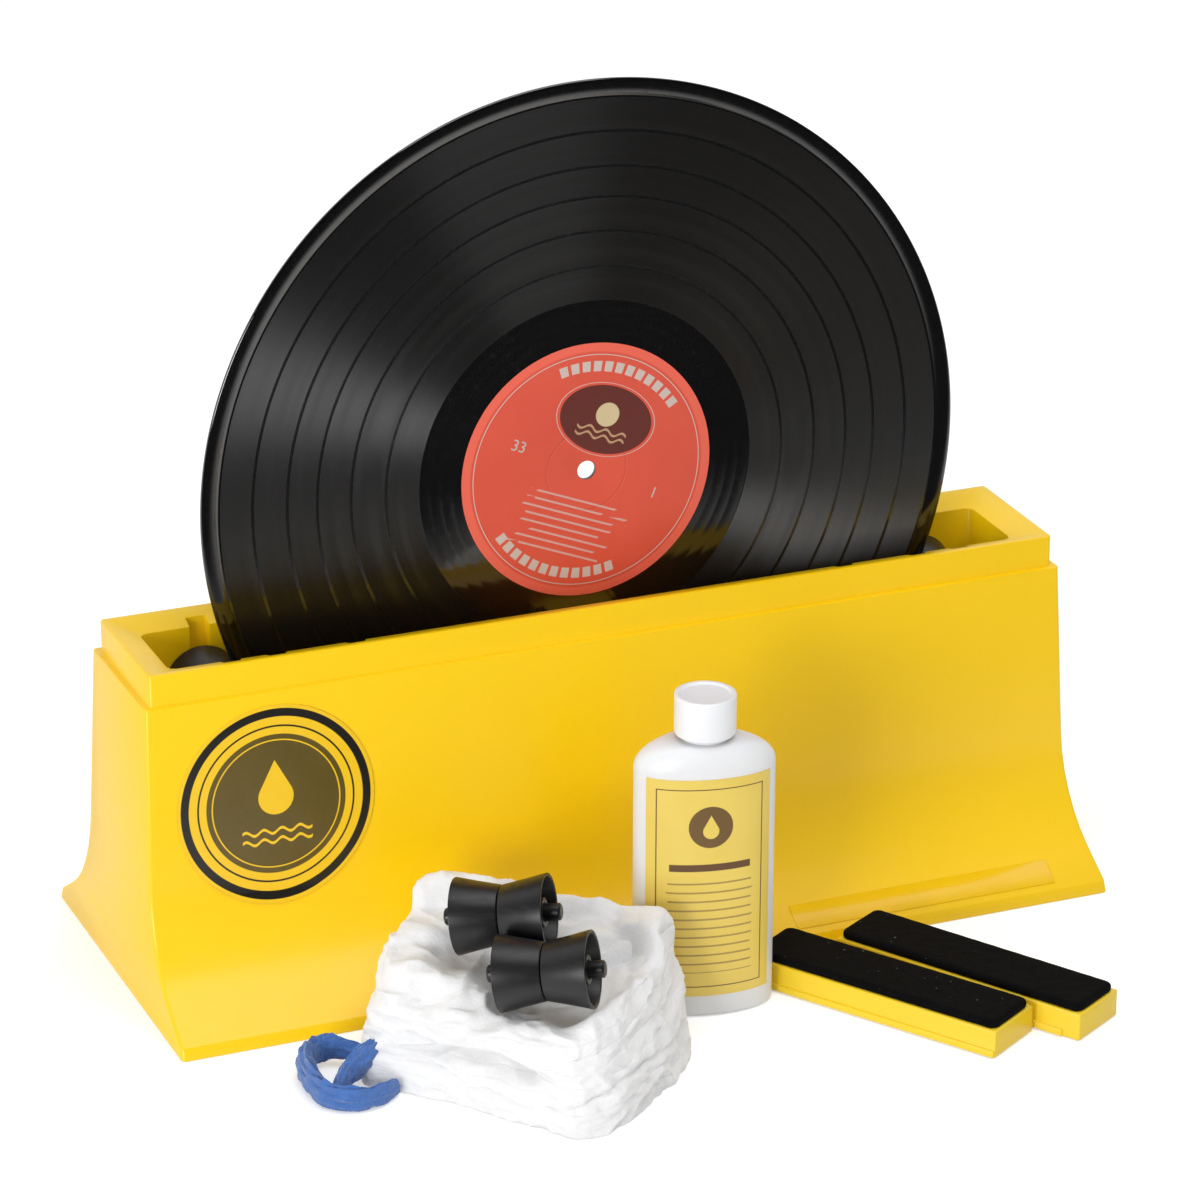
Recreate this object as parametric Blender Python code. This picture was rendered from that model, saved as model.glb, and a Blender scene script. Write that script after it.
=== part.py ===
"""Manual record washer: a narrow trough that stands on a flared skirt.

A record stands upright in the trough on two grooved rollers and turns between a pair of
velvet brushes. The spare rollers, brushes, drying cloth and fluid bottle stand in front.
All lengths are metres. X runs along the trough, -Y is the front and +Z is up.
"""
import math

import bmesh
import bpy
from mathutils import Matrix, Vector
from mathutils.geometry import interpolate_bezier

# Gaps and tolerances shared by the whole set
GAP = 0.0003              # between faces that would touch
OVERRUN = 0.004           # how far a cutter passes the face it opens
WELD = 0.000001           # points closer than this are one point
DEG = math.pi / 180
SHARP_ANGLE = 30          # degrees past which an edge is shown sharp

# Record, a 12 inch disc: its edge is thicker than its grooved area
RECORD_RADIUS = 0.1508
RECORD_EDGE = 0.0016      # thickness of the edge bead and the label area
RECORD_GROOVED = 0.0013   # thickness of the grooved area
EDGE_BAND = 0.007         # width of the smooth lead-in
EDGE_BEVEL = 0.0004
LABEL_RADIUS = 0.050
LABEL_LAND = 0.0015       # vinyl that shows past the label before the grooves
SPINDLE_RADIUS = 0.0036
PAPER = 0.00015
PAPER_GAP = 0.0001
RECORD_CLEAR = 0.0124     # lowest point of the record over the trough's floor
RECORD_STEPS = 96
SMALL_RECORD_SHARES = (0.8289, 0.5802)   # radii of the 10 inch and 7 inch discs

# Roller: two cones and an axle make an hourglass with a groove for the record
CONE_LENGTH = 0.01685
WAIST_RADIUS = 0.0106
FLANGE_RADIUS = 0.0142
CONE_WALL = 0.0013
CONE_WEB = 0.003
HUB_RADIUS = 0.0054
HUB_RECESS = 0.0015       # the hub stops this far inside the flange
AXLE_RADIUS = 0.0032
AXLE_STUB = 0.0045        # length of axle that stands out of each flange
AXLE_CHAMFER = 0.0005
AXLE_DROP = 0.0254        # middle of the axle under the rim
ROLLER_STEPS = 32

# Brush: a plastic bar with guide strips, and a velvet pad on its face
BAR_LENGTH = 0.1065
BAR_WIDTH = 0.0265
BAR_THICKNESS = 0.0106
STRIP_PROUD = 0.001
STRIP_THICKNESS = 0.003
STRIP_SHORT = 0.007       # the strips end this far from the top of the bar
PAD_THICKNESS = 0.0030
PAD_MARGIN = 0.001
PAD_CROWN = 0.0016
CROWN_STEPS = 3
CROWN_ANGLE = 90
PAD_CORNER = 0.003
PAD_STAND_OFF = 0.0013    # pad face to the middle plane of the record
BAR_BEVEL = 0.0004

# Basin: outer shell, from the rim down to the table
RIM_RISE = 0.0121         # the rim stands this much over the ledge
RIM_STEP = 0.0024         # width of the ledge that the lid sits on
LEDGE_HEIGHT = 0.1198
WALL_DRAFT = 3.76         # degrees from upright
END_LEAN = 0.0036         # the foot reaches this much past the ledge at each end
FLARE_RADIUS = 0.050
FLARE_ANGLE = 58          # degrees from upright where the curve ends
FLARE_STEPS = 6
SKIRT_DROP = 0.0085       # height of the straight slope under the curve
LIP_HEIGHT = 0.0044
LIP_DRAFT = 0.0018
WALL = 0.0022
SHELL_CORNER = 0.0015
CORNER_STEPS = 2

# Basin: trough, funnel, axle slots and brush guides
ROLLER_END_ROOM = 0.0091  # from a roller's flange to the end wall of the trough
ROLLER_SIDE_ROOM = 0.00065
BRUSH_SEAT = 0.001        # least thickness of the land behind a brush
RIM_WALL = 0.0015
FUNNEL_WIDTH = 0.010
FUNNEL_DROP = 0.0034
TROUGH_FLOOR = 0.012
TROUGH_FILLET = 0.002
TROUGH_CORNER = 0.003
TROUGH_WALL = 0.002
SLOT_WIDTH = 0.0075
AXLE_END_PLAY = 0.0013
SLOT_STEPS = 8
GUIDE_WALL = 0.002
GUIDE_LIP = 0.0015
GUIDE_TOP_DROP = 0.010    # the guides stop this far under the funnel

# Stickers on the front wall
STICKER = 0.0003
STICKER_GAP = 0.0002
BADGE_RADIUS = 0.038
BADGE_FROM_END = 0.0513   # from the end of the base to the badge's centre
BADGE_HEIGHT = 0.0769
BADGE_STEPS = 48
TAPE_LENGTH = 0.1085
TAPE_FROM_END = 0.0208
TAPE_LOW = 0.0062
TAPE_HIGH = 0.0118

# Bottle of washing fluid, oval in plan
BOTTLE_WIDTH = 0.0524
BOTTLE_DEPTH = 0.026
BOTTLE_WALL = 0.0012
BOTTLE_SHOULDER = 0.0965
SHOULDER_RISE = 0.0105
SHOULDER_STEPS = 5
BOTTLE_FOOT = 0.0015
BOTTLE_STEPS = 40
NECK_RADIUS = 0.0086
NECK_BORE = 0.0065
BOTTLE_LABEL_LOW = 0.0086
BOTTLE_LABEL_TOP_DROP = 0.0012
BOTTLE_LABEL_SIDE = 0.0035    # label edge to the widest line of the oval
THREAD_PITCH = 0.003
THREAD_RISE = 0.0011
THREAD_ROOT = 0.0010
THREAD_CREST = 0.0005
THREAD_SINK = 0.0003
THREAD_TURNS = 1.25
THREAD_STEPS = 24

# Screw cap and its liner
CAP_RADIUS = 0.0113
CAP_HEIGHT = 0.0152
CAP_WALL = 0.0011
CAP_TOP = 0.0016
CAP_ROUND = 0.001
CAP_LIFT_OFF = 0.0018     # bottom of the cap over the shoulder
CAP_STEPS = 40
LINER = 0.001

# Drying cloth, folded into a lumpy square stack that leans on the skirt
CLOTH_WIDTH = 0.135
CLOTH_DEPTH = 0.120
CLOTH_HEIGHT = 0.048
CLOTH_TURN = 38.5         # heading of its right front side, in degrees
CLOTH_SIDE = 0.088        # length of that side
CLOTH_STEPS = 40
CLOTH_GAP = 0.0005        # between the soft folds and what they lie against
HEM_WIDTH = 0.009
HEM_THICKNESS = 0.0024
HEM_STEPS = 20
HEM_REACH = 0.042         # pull of the loop away from the cloth
HEM_RISE = 0.003          # its rear end lies this much over the table
# Its outline on the table and the outline of its top, from the front corner to the right,
# back and left, as shares of its width and depth
CLOTH_FOOT_SHARES = ((-0.02, -0.50), (0.11, -0.49), (0.33, -0.30), (0.48, -0.05),
                     (0.44, 0.07), (0.27, 0.22), (0.10, 0.34), (-0.11, 0.36),
                     (-0.28, 0.28), (-0.43, 0.09), (-0.33, -0.07), (-0.21, -0.21),
                     (-0.11, -0.37))
CLOTH_TOP_SHARES = ((0.02, -0.375), (0.15, -0.325), (0.30, -0.18), (0.42, -0.03),
                    (0.43, 0.06), (0.26, 0.22), (0.10, 0.39), (-0.09, 0.50),
                    (-0.24, 0.36), (-0.37, 0.13), (-0.29, -0.02), (-0.18, -0.16),
                    (-0.07, -0.29))
CLOTH_LEVEL_SHARES = ((0, 0), (0.12, 0.0), (0.45, 0.35), (0.75, 0.8), (0.93, 1))
CLOTH_RING_SHARES = (0.94, 0.78, 0.58, 0.36, 0.16)
CLOTH_CORNER_SHARES = (0.46, 1.08, 1.12, 0.68)   # heights at the front, right, back and left
HOLLOW_DEPTH_SHARE = 0.24
HOLLOW_SIZE_SHARE = 0.44
HOLLOW_PLACE_SHARE = (0.12, -0.20)
SPARE_ROLLER_SHARE = (0.016, -0.168)
HEM_END_SHARES = (0.67, 0.755)       # where the hem loop leaves the cloth, round its foot

# Places of the loose pieces in front of the basin
CLOTH_FROM_MIDDLE = 0.075      # to the left
CLOTH_FROM_FRONT = 0.0462
SPARE_ROLLER_HEADING = -33
SPARE_ROLLER_TILT = -8         # its right end lies higher
SPARE_ROLLER_STAGGER = 0.0202  # the rear roller lies this much further left
SPARE_ROLLER_SPREAD_SHARE = 0.88   # level part of the distance between their axles
SPARE_ROLLER_GAP = 0.0005
BOTTLE_FROM_CLOTH = -0.0131    # the bottle's side reaches in beside the cloth's corner
BOTTLE_FROM_FRONT = 0.0251
BOTTLE_TURN = -12
BRUSH_PAST_BOTTLE = -0.00414   # far corner of the left brush to the bottle's side
BRUSH_FROM_FRONT = 0.0018
BRUSH_TURNS = (32.7, 31.2)
BRUSH_SIDE_GAP = 0.001
BRUSH_LEAD = 0.0174            # the left brush stands this much further back


def add_object(name, bm, material=None, parent=None, place=(0, 0, 0), turn=(0, 0, 0)):
    """Turn a bmesh into a named object."""
    mesh = bpy.data.meshes.new(name)
    bm.to_mesh(mesh)
    bm.free()
    return add_mesh_object(name, mesh, material, parent, place, turn)


def add_mesh_object(name, mesh, material, parent, place=(0, 0, 0), turn=(0, 0, 0)):
    if material:
        mesh.shade_smooth()
        mesh.set_sharp_from_angle(angle=SHARP_ANGLE * DEG)
        if not mesh.materials:
            mesh.materials.append(material)
    item = bpy.data.objects.new(name, mesh)
    bpy.context.scene.collection.objects.link(item)
    item.parent = parent
    item.location = place
    item.rotation_euler = turn
    return item


def add_empty(name, parent=None, place=(0, 0, 0), turn=(0, 0, 0)):
    empty = bpy.data.objects.new(name, None)
    bpy.context.scene.collection.objects.link(empty)
    empty.parent = parent
    empty.location = place
    empty.rotation_euler = turn
    return empty


def cutter(name, bm, parent, place=(0, 0, 0), turn=(0, 0, 0)):
    """An object that only shapes others: drawn as wire and left out of the model."""
    item = add_object(name, bm, None, parent, place, turn)
    item.hide_render = True
    item.display_type = "WIRE"
    return item


def combine(target, tool, operation):
    step = target.modifiers.new(f"{operation.lower()} {tool.name}", "BOOLEAN")
    step.operation = operation
    step.solver = "EXACT"
    step.object = tool


def finish(name, colour, roughness, metallic=0.0):
    """A Principled material with one colour, roughness and metallic value."""
    material = bpy.data.materials.new(name)
    material.use_nodes = True
    shader = material.node_tree.nodes["Principled BSDF"]
    shader.inputs["Base Color"].default_value = (*colour, 1)
    shader.inputs["Roughness"].default_value = roughness
    shader.inputs["Metallic"].default_value = metallic
    return material


def add_loft(bm, loops):
    """Skin closed loops of equal count in order, and cap both ends."""
    rings = [[bm.verts.new(point) for point in loop] for loop in loops]
    for low, high in zip(rings, rings[1:]):
        for i in range(len(low)):
            j = (i + 1) % len(low)
            bm.faces.new((low[i], low[j], high[j], high[i]))
    bm.faces.new(reversed(rings[0]))
    bm.faces.new(rings[-1])


def loft(loops):
    bm = bmesh.new()
    add_loft(bm, loops)
    bmesh.ops.recalc_face_normals(bm, faces=bm.faces)
    return bm


def add_box(bm, low, high):
    """A box between two corners."""
    size = [b - a for a, b in zip(low, high)]
    middle = [(a + b) / 2 for a, b in zip(low, high)]
    matrix = Matrix.Translation(middle) @ Matrix.Diagonal((*size, 1))
    bmesh.ops.create_cube(bm, size=1, matrix=matrix)


def turned(profile, steps, closed=True, along_y=False):
    """Turn a profile of (radius, height) points round Z, or round Y."""
    bm = bmesh.new()
    verts = [bm.verts.new((radius, 0, height)) for radius, height in profile]
    ends = verts[1:] + verts[:1] if closed else verts[1:]
    edges = [bm.edges.new(pair) for pair in zip(verts, ends)]
    bmesh.ops.spin(bm, geom=verts + edges, axis=(0, 0, 1), cent=(0, 0, 0),
                   angle=2 * math.pi, steps=steps, use_merge=True)
    bmesh.ops.remove_doubles(bm, verts=bm.verts, dist=WELD)
    if along_y:
        bmesh.ops.rotate(bm, verts=bm.verts, matrix=Matrix.Rotation(-90 * DEG, 3, "X"))
    bmesh.ops.recalc_face_normals(bm, faces=bm.faces)
    return bm


def rounded_rectangle(half_x, half_y, radius, z):
    """Corners of a rounded rectangle at height z, counter-clockwise."""
    points = []
    for corner in range(4):
        sign_x = 1 if corner in (0, 3) else -1
        sign_y = 1 if corner in (0, 1) else -1
        for step in range(CORNER_STEPS + 1):
            angle = (corner + step / CORNER_STEPS) * math.pi / 2
            points.append((sign_x * (half_x - radius) + radius * math.cos(angle),
                           sign_y * (half_y - radius) + radius * math.sin(angle), z))
    return points


def rim_height():
    return LEDGE_HEIGHT + RIM_RISE


def axle_height():
    return rim_height() - AXLE_DROP


def record_low():
    return TROUGH_FLOOR + RECORD_CLEAR


def record_height():
    return record_low() + RECORD_RADIUS


def cone_slope():
    return (FLANGE_RADIUS - WAIST_RADIUS) / CONE_LENGTH


def contact_radius():
    """Radius of the roller where the record's edge bears on its groove."""
    return WAIST_RADIUS + cone_slope() * RECORD_EDGE / 2


def roller_distance(radius):
    """Half the distance between two axles that carry a disc of this radius."""
    reach = radius + contact_radius() + GAP
    rise = record_low() + radius - axle_height()
    return math.sqrt(reach ** 2 - rise ** 2)


def roller_half():
    """Half the length of a roller over its flanges."""
    return GAP / 2 + CONE_LENGTH


def axle_half():
    return roller_half() + AXLE_STUB


def brush_back():
    """How far the back of a brush stands from the middle plane."""
    return PAD_STAND_OFF + PAD_THICKNESS + GAP + BAR_THICKNESS


def strip_half():
    return BAR_WIDTH / 2 + STRIP_PROUD


def trough_half():
    """Half length and half depth of the trough's opening, round rollers and brushes."""
    depth = max(roller_half() + ROLLER_SIDE_ROOM, brush_back() + GAP + BRUSH_SEAT)
    return roller_distance(RECORD_RADIUS) + FLANGE_RADIUS + ROLLER_END_ROOM, depth


def ledge_half():
    """Half length and half depth of the shell at the ledge."""
    inset = RIM_STEP + RIM_WALL + FUNNEL_WIDTH
    return tuple(half + inset for half in trough_half())


def flare_top():
    """Half depth and height where the straight wall meets the hollow curve."""
    draft = WALL_DRAFT * DEG
    drop = FLARE_RADIUS * (math.sin(FLARE_ANGLE * DEG) - math.sin(draft))
    height = LIP_HEIGHT + SKIRT_DROP + drop
    return ledge_half()[1] + (LEDGE_HEIGHT - height) * math.tan(draft), height


def flare_arc(radius):
    """The hollow curve of the skirt, from the straight wall down to its steepest slope."""
    draft = WALL_DRAFT * DEG
    top_y, top_z = flare_top()
    centre_y = top_y + FLARE_RADIUS * math.cos(draft)
    centre_z = top_z + FLARE_RADIUS * math.sin(draft)
    angles = [draft + (FLARE_ANGLE * DEG - draft) * i / FLARE_STEPS
              for i in range(FLARE_STEPS + 1)]
    return [(centre_y - radius * math.cos(a), centre_z - radius * math.sin(a))
            for a in angles]


def lip_half():
    """Half depth of the shell at the top of its lip."""
    return flare_arc(FLARE_RADIUS)[-1][0] + SKIRT_DROP * math.tan(FLARE_ANGLE * DEG)


def foot_half():
    """Half length and half depth of the shell on the table."""
    return ledge_half()[0] + END_LEAN, lip_half() + LIP_DRAFT


def outer_wall():
    """Half depth and height of the shell from the table up to the lid ledge."""
    return [(foot_half()[1], 0), (lip_half(), LIP_HEIGHT),
            *reversed(flare_arc(FLARE_RADIUS)), (ledge_half()[1], LEDGE_HEIGHT)]


def wall_half_depth(z):
    """Half depth of the faceted shell at a height."""
    wall = outer_wall()
    for (low_y, low_z), (high_y, high_z) in zip(wall, wall[1:]):
        if z <= high_z:
            return low_y + (high_y - low_y) * (z - low_z) / (high_z - low_z)
    return ledge_half()[1]


def half_length(z):
    """Half length of the shell at a height: the ends lean in evenly."""
    return ledge_half()[0] + END_LEAN * (1 - z / LEDGE_HEIGHT)


def shell_loops(proud=0):
    """The shell's sections up to the ledge, made larger by proud."""
    return [rounded_rectangle(half_length(z) + proud, y + proud, SHELL_CORNER + proud, z)
            for y, z in outer_wall()]


def basin_outside():
    rim_x, rim_y = (half - RIM_STEP for half in ledge_half())
    return loft(shell_loops() + [rounded_rectangle(rim_x, rim_y, SHELL_CORNER, z)
                                 for z in (LEDGE_HEIGHT, rim_height())])


def skirt_hollow():
    """The space under the shell, up to the underside of the funnel."""
    arc = flare_arc(FLARE_RADIUS + WALL)
    inner_y = foot_half()[1] - WALL
    inner_z = arc[-1][1] - (inner_y - arc[-1][0]) / math.tan(FLARE_ANGLE * DEG)
    ledge_x, ledge_y = ledge_half()
    wall = [(inner_y, -OVERRUN), (inner_y, inner_z), *reversed(arc),
            (ledge_y - WALL, LEDGE_HEIGHT - WALL)]
    loops = [rounded_rectangle(half_length(z) - WALL, y, SHELL_CORNER, z) for y, z in wall]
    trough_x, trough_y = trough_half()
    rim_inset = RIM_STEP + WALL
    funnel_top = rim_height() - WALL
    for z in (LEDGE_HEIGHT - WALL, funnel_top):
        loops.append(rounded_rectangle(ledge_x - rim_inset, ledge_y - rim_inset,
                                       SHELL_CORNER, z))
    loops.append(rounded_rectangle(trough_x + TROUGH_WALL / 2, trough_y + TROUGH_WALL / 2,
                                   SHELL_CORNER, funnel_top - FUNNEL_DROP))
    return loft(loops)


def trough_block():
    """The trough's own walls and floor, seen from under the skirt."""
    x, y = trough_half()
    bm = bmesh.new()
    add_box(bm, (-x - TROUGH_WALL, -y - TROUGH_WALL, TROUGH_FLOOR - TROUGH_WALL),
            (x + TROUGH_WALL, y + TROUGH_WALL, rim_height()))
    return bm


def trough_space():
    """The water space, with the sloped funnel that leads into it."""
    x, y = trough_half()
    foot = TROUGH_FILLET
    top = rim_height() - FUNNEL_DROP
    loops = [rounded_rectangle(x - foot, y - foot, TROUGH_CORNER - foot, TROUGH_FLOOR),
             rounded_rectangle(x, y, TROUGH_CORNER, TROUGH_FLOOR + foot),
             rounded_rectangle(x, y, TROUGH_CORNER, top)]
    for z in (rim_height(), rim_height() + OVERRUN):
        loops.append(rounded_rectangle(x + FUNNEL_WIDTH, y + FUNNEL_WIDTH, TROUGH_CORNER, z))
    return loft(loops)


def slot_places():
    """Where the axle slots are: one pair for each size of record."""
    reach = [roller_distance(RECORD_RADIUS * share) for share in (1, *SMALL_RECORD_SHARES)]
    return [side * x for x in reach for side in (-1, 1)]


def slot_end():
    """Half the room between the far ends of two facing slots."""
    return axle_half() + AXLE_END_PLAY


def axle_slots():
    """U-shaped slots, open at the top, with the axle resting in the round bottom."""
    bm = bmesh.new()
    radius = SLOT_WIDTH / 2
    centre = axle_height() - AXLE_RADIUS - GAP + radius
    for x in slot_places():
        outline = [(x + radius * math.cos(a), centre + radius * math.sin(a))
                   for a in (-math.pi * i / SLOT_STEPS for i in range(SLOT_STEPS + 1))]
        outline += [(x - radius, rim_height() + OVERRUN), (x + radius, rim_height() + OVERRUN)]
        add_loft(bm, [[(px, side * slot_end(), pz) for px, pz in outline]
                      for side in (-1, 1)])
    bmesh.ops.recalc_face_normals(bm, faces=bm.faces)
    return bm


def slot_pockets():
    """Walls that close the axle slots off from the hollow under the skirt."""
    bm = bmesh.new()
    half = SLOT_WIDTH / 2 + TROUGH_WALL
    bottom = axle_height() - AXLE_RADIUS - GAP - TROUGH_WALL
    depth = slot_end() + TROUGH_WALL
    for x in slot_places():
        add_box(bm, (x - half, -depth, bottom), (x + half, depth, rim_height()))
    return bm


def brush_guides():
    """An upright channel on each long wall, whose lips hold the strips of a brush."""
    inner = BAR_WIDTH / 2 + GAP
    pocket = strip_half() + GAP
    outer = pocket + GUIDE_WALL
    seat = brush_back() + GAP
    strip_face = brush_back() - STRIP_THICKNESS - GAP
    lip_face = strip_face - GUIDE_LIP
    root = trough_half()[1] + TROUGH_WALL / 2
    right = [(pocket, seat), (pocket, strip_face), (inner, strip_face), (inner, lip_face),
             (outer, lip_face), (outer, root)]
    outline = right + [(-x, y) for x, y in reversed(right)]
    top = rim_height() - FUNNEL_DROP - GUIDE_TOP_DROP
    bottom = TROUGH_FLOOR - TROUGH_WALL / 2
    bm = bmesh.new()
    for side in (-1, 1):
        add_loft(bm, [[(x, side * y, z) for x, y in outline] for z in (bottom, top)])
    bmesh.ops.recalc_face_normals(bm, faces=bm.faces)
    return bm


def make_basin(datum, yellow):
    """One moulding: skirt, lid ledge, funnel, trough, axle slots and brush guides."""
    basin = add_object("basin", basin_outside(), yellow, datum)
    hollow = cutter("skirt_hollow", skirt_hollow(), datum)
    for name, block in (("trough_block", trough_block()), ("slot_pockets", slot_pockets())):
        combine(hollow, cutter(name, block, datum), "DIFFERENCE")
    combine(basin, hollow, "DIFFERENCE")
    for name, space in (("trough_space", trough_space()), ("axle_slots", axle_slots())):
        combine(basin, cutter(name, space, datum), "DIFFERENCE")
    combine(basin, cutter("brush_guides", brush_guides(), datum), "UNION")


def add_sticker(name, blank, material, datum):
    """Keep only the thin layer of a blank that lies just proud of the front wall."""
    sticker = add_object(name, blank, material, datum)
    under = cutter(f"{name}_under", loft(shell_loops(STICKER_GAP)), datum)
    over = cutter(f"{name}_over", loft(shell_loops(STICKER_GAP + STICKER)), datum)
    combine(sticker, over, "INTERSECT")
    combine(sticker, under, "DIFFERENCE")


def make_stickers(datum):
    dark = finish("printed badge", (0.10, 0.085, 0.03), 0.4)
    clear = finish("clear tape", (0.80, 0.62, 0.04), 0.2)
    foot_x, foot_y = foot_half()
    ledge_y = ledge_half()[1]
    disc = turned([(0, ledge_y / 2), (BADGE_RADIUS, ledge_y / 2), (BADGE_RADIUS, foot_y),
                   (0, foot_y)], BADGE_STEPS, closed=False)
    bmesh.ops.rotate(disc, verts=disc.verts, matrix=Matrix.Rotation(90 * DEG, 3, "X"))
    bmesh.ops.translate(disc, verts=disc.verts,
                        vec=(BADGE_FROM_END - foot_x, 0, BADGE_HEIGHT))
    add_sticker("basin_badge", disc, dark, datum)
    right = foot_x - TAPE_FROM_END
    strip = bmesh.new()
    add_box(strip, (right - TAPE_LENGTH, -foot_y, TAPE_LOW), (right, -ledge_y, TAPE_HIGH))
    add_sticker("basin_tape", strip, clear, datum)


def record_profile():
    """Half of the disc's section, from the spindle hole out to the edge."""
    edge, grooved = RECORD_EDGE / 2, RECORD_GROOVED / 2
    land = LABEL_RADIUS + LABEL_LAND
    band = RECORD_RADIUS - EDGE_BAND
    return [(SPINDLE_RADIUS, grooved), (land, grooved), (band, grooved),
            (band + (edge - grooved), edge), (RECORD_RADIUS - EDGE_BEVEL, edge),
            (RECORD_RADIUS, edge - EDGE_BEVEL)]


def make_record(datum):
    vinyl = finish("black vinyl", (0.012, 0.012, 0.013), 0.22)
    paper = finish("red label paper", (0.72, 0.10, 0.05), 0.6)
    hub = add_empty("record_axis", datum, (0, 0, record_height()))
    half = record_profile()
    back = [(radius, -height) for radius, height in reversed(half)]
    add_object("record_disc", turned(half + back, RECORD_STEPS, along_y=True), vinyl, hub)
    low = RECORD_GROOVED / 2 + PAPER_GAP
    ring = [(SPINDLE_RADIUS, low), (LABEL_RADIUS, low), (LABEL_RADIUS, low + PAPER),
            (SPINDLE_RADIUS, low + PAPER)]
    front = add_object("record_label_front", turned(ring, RECORD_STEPS // 2, along_y=True),
                       paper, hub, turn=(0, 0, math.pi))
    add_mesh_object("record_label_back", front.data, paper, hub)


def cone_profile():
    """Section of one hollow cone with its hub, waist end first."""
    start = GAP / 2
    end = roller_half()
    web = start + CONE_WEB
    web_radius = WAIST_RADIUS + cone_slope() * CONE_WEB - CONE_WALL
    bore = AXLE_RADIUS + GAP
    return [(bore, start), (WAIST_RADIUS, start), (FLANGE_RADIUS, end),
            (FLANGE_RADIUS - CONE_WALL, end), (web_radius, web), (HUB_RADIUS, web),
            (HUB_RADIUS, end - HUB_RECESS), (bore, end - HUB_RECESS)]


def axle_profile():
    half = axle_half()
    radius = AXLE_RADIUS
    return [(0, half), (radius - AXLE_CHAMFER, half), (radius, half - AXLE_CHAMFER),
            (radius, AXLE_CHAMFER - half), (radius - AXLE_CHAMFER, -half), (0, -half)]


def make_roller(name, parent, place, turn, rubber, cone, axle):
    """Axle along Y with a cone pushed on from each end."""
    hub = add_empty(f"{name}_axis", parent, place, turn)
    add_mesh_object(f"{name}_axle", axle, rubber, hub)
    add_mesh_object(f"{name}_back_cone", cone, rubber, hub)
    add_mesh_object(f"{name}_front_cone", cone, rubber, hub, turn=(0, 0, math.pi))


def mesh_of(name, bm):
    mesh = bpy.data.meshes.new(name)
    bm.to_mesh(mesh)
    bm.free()
    return mesh


def resting_height(place, facing, front):
    """Height at which a roller's two flanges just clear the folds under them."""
    lowest = []
    for end in (-1, 1):
        for i in range(ROLLER_STEPS):
            angle = 2 * math.pi * i / ROLLER_STEPS
            rim = facing @ Vector((FLANGE_RADIUS * math.cos(angle), end * CONE_LENGTH,
                                   FLANGE_RADIUS * math.sin(angle)))
            spot = place + rim
            lowest.append(cloth_top(spot.x, spot.y, front) - rim.z)
    return max(lowest) + CLOTH_GAP


def make_rollers(datum, front):
    rubber = finish("black moulded rubber", (0.02, 0.02, 0.022), 0.38)
    cone = mesh_of("roller_cone", turned(cone_profile(), ROLLER_STEPS, along_y=True))
    axle = mesh_of("roller_axle",
                   turned(axle_profile(), ROLLER_STEPS * 3 // 4, closed=False, along_y=True))
    reach = roller_distance(RECORD_RADIUS)
    for name, x in (("left_roller", -reach), ("right_roller", reach)):
        make_roller(name, datum, (x, 0, axle_height()), (0, 0, 0), rubber, cone, axle)
    heading = Matrix.Rotation(SPARE_ROLLER_HEADING * DEG, 3, "Z")
    tilted = heading @ Matrix.Rotation(SPARE_ROLLER_TILT * DEG, 3, "Y")
    facing = tilted @ Matrix.Rotation(-90 * DEG, 3, "Z")
    nested = cone_slope() * abs(SPARE_ROLLER_STAGGER - CONE_LENGTH)
    apart = FLANGE_RADIUS + WAIST_RADIUS + nested + SPARE_ROLLER_GAP
    aside = heading @ Vector((-SPARE_ROLLER_STAGGER, apart * SPARE_ROLLER_SPREAD_SHARE, 0))
    place = cloth_middle(front) + Vector((SPARE_ROLLER_SHARE[0] * CLOTH_WIDTH,
                                          SPARE_ROLLER_SHARE[1] * CLOTH_DEPTH, 0))
    for name in ("spare_roller_a", "spare_roller_b"):
        place.z = resting_height(place, facing, front)
        make_roller(name, datum, place.copy(), facing.to_euler(), rubber, cone, axle)
        place += aside


def bar_mesh():
    """A brush bar lying on its back, with a guide strip drawn out of each long side."""
    bm = bmesh.new()
    half = BAR_WIDTH / 2
    strip_end = BAR_LENGTH / 2 - STRIP_SHORT
    add_box(bm, (-BAR_LENGTH / 2, -half, 0), (BAR_LENGTH / 2, half, BAR_THICKNESS))
    bmesh.ops.bevel(bm, geom=bm.edges[:], offset=BAR_BEVEL, offset_type="OFFSET",
                    segments=1, profile=0.5, affect="EDGES", material=-1)
    for place, normal in (((strip_end, 0, 0), (1, 0, 0)),
                          ((0, 0, STRIP_THICKNESS), (0, 0, 1))):
        bmesh.ops.bisect_plane(bm, geom=bm.verts[:] + bm.edges[:] + bm.faces[:],
                               plane_co=place, plane_no=normal)
    bm.normal_update()
    for side in (-1, 1):
        faces = [face for face in bm.faces if face.normal.y * side > 1 - BAR_BEVEL
                 and face.calc_center_median().x < strip_end
                 and face.calc_center_median().z < STRIP_THICKNESS]
        drawn = bmesh.ops.extrude_discrete_faces(bm, faces=faces)["faces"]
        bmesh.ops.translate(bm, verts=[v for face in drawn for v in face.verts],
                            vec=(0, side * STRIP_PROUD, 0))
    return bm


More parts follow.
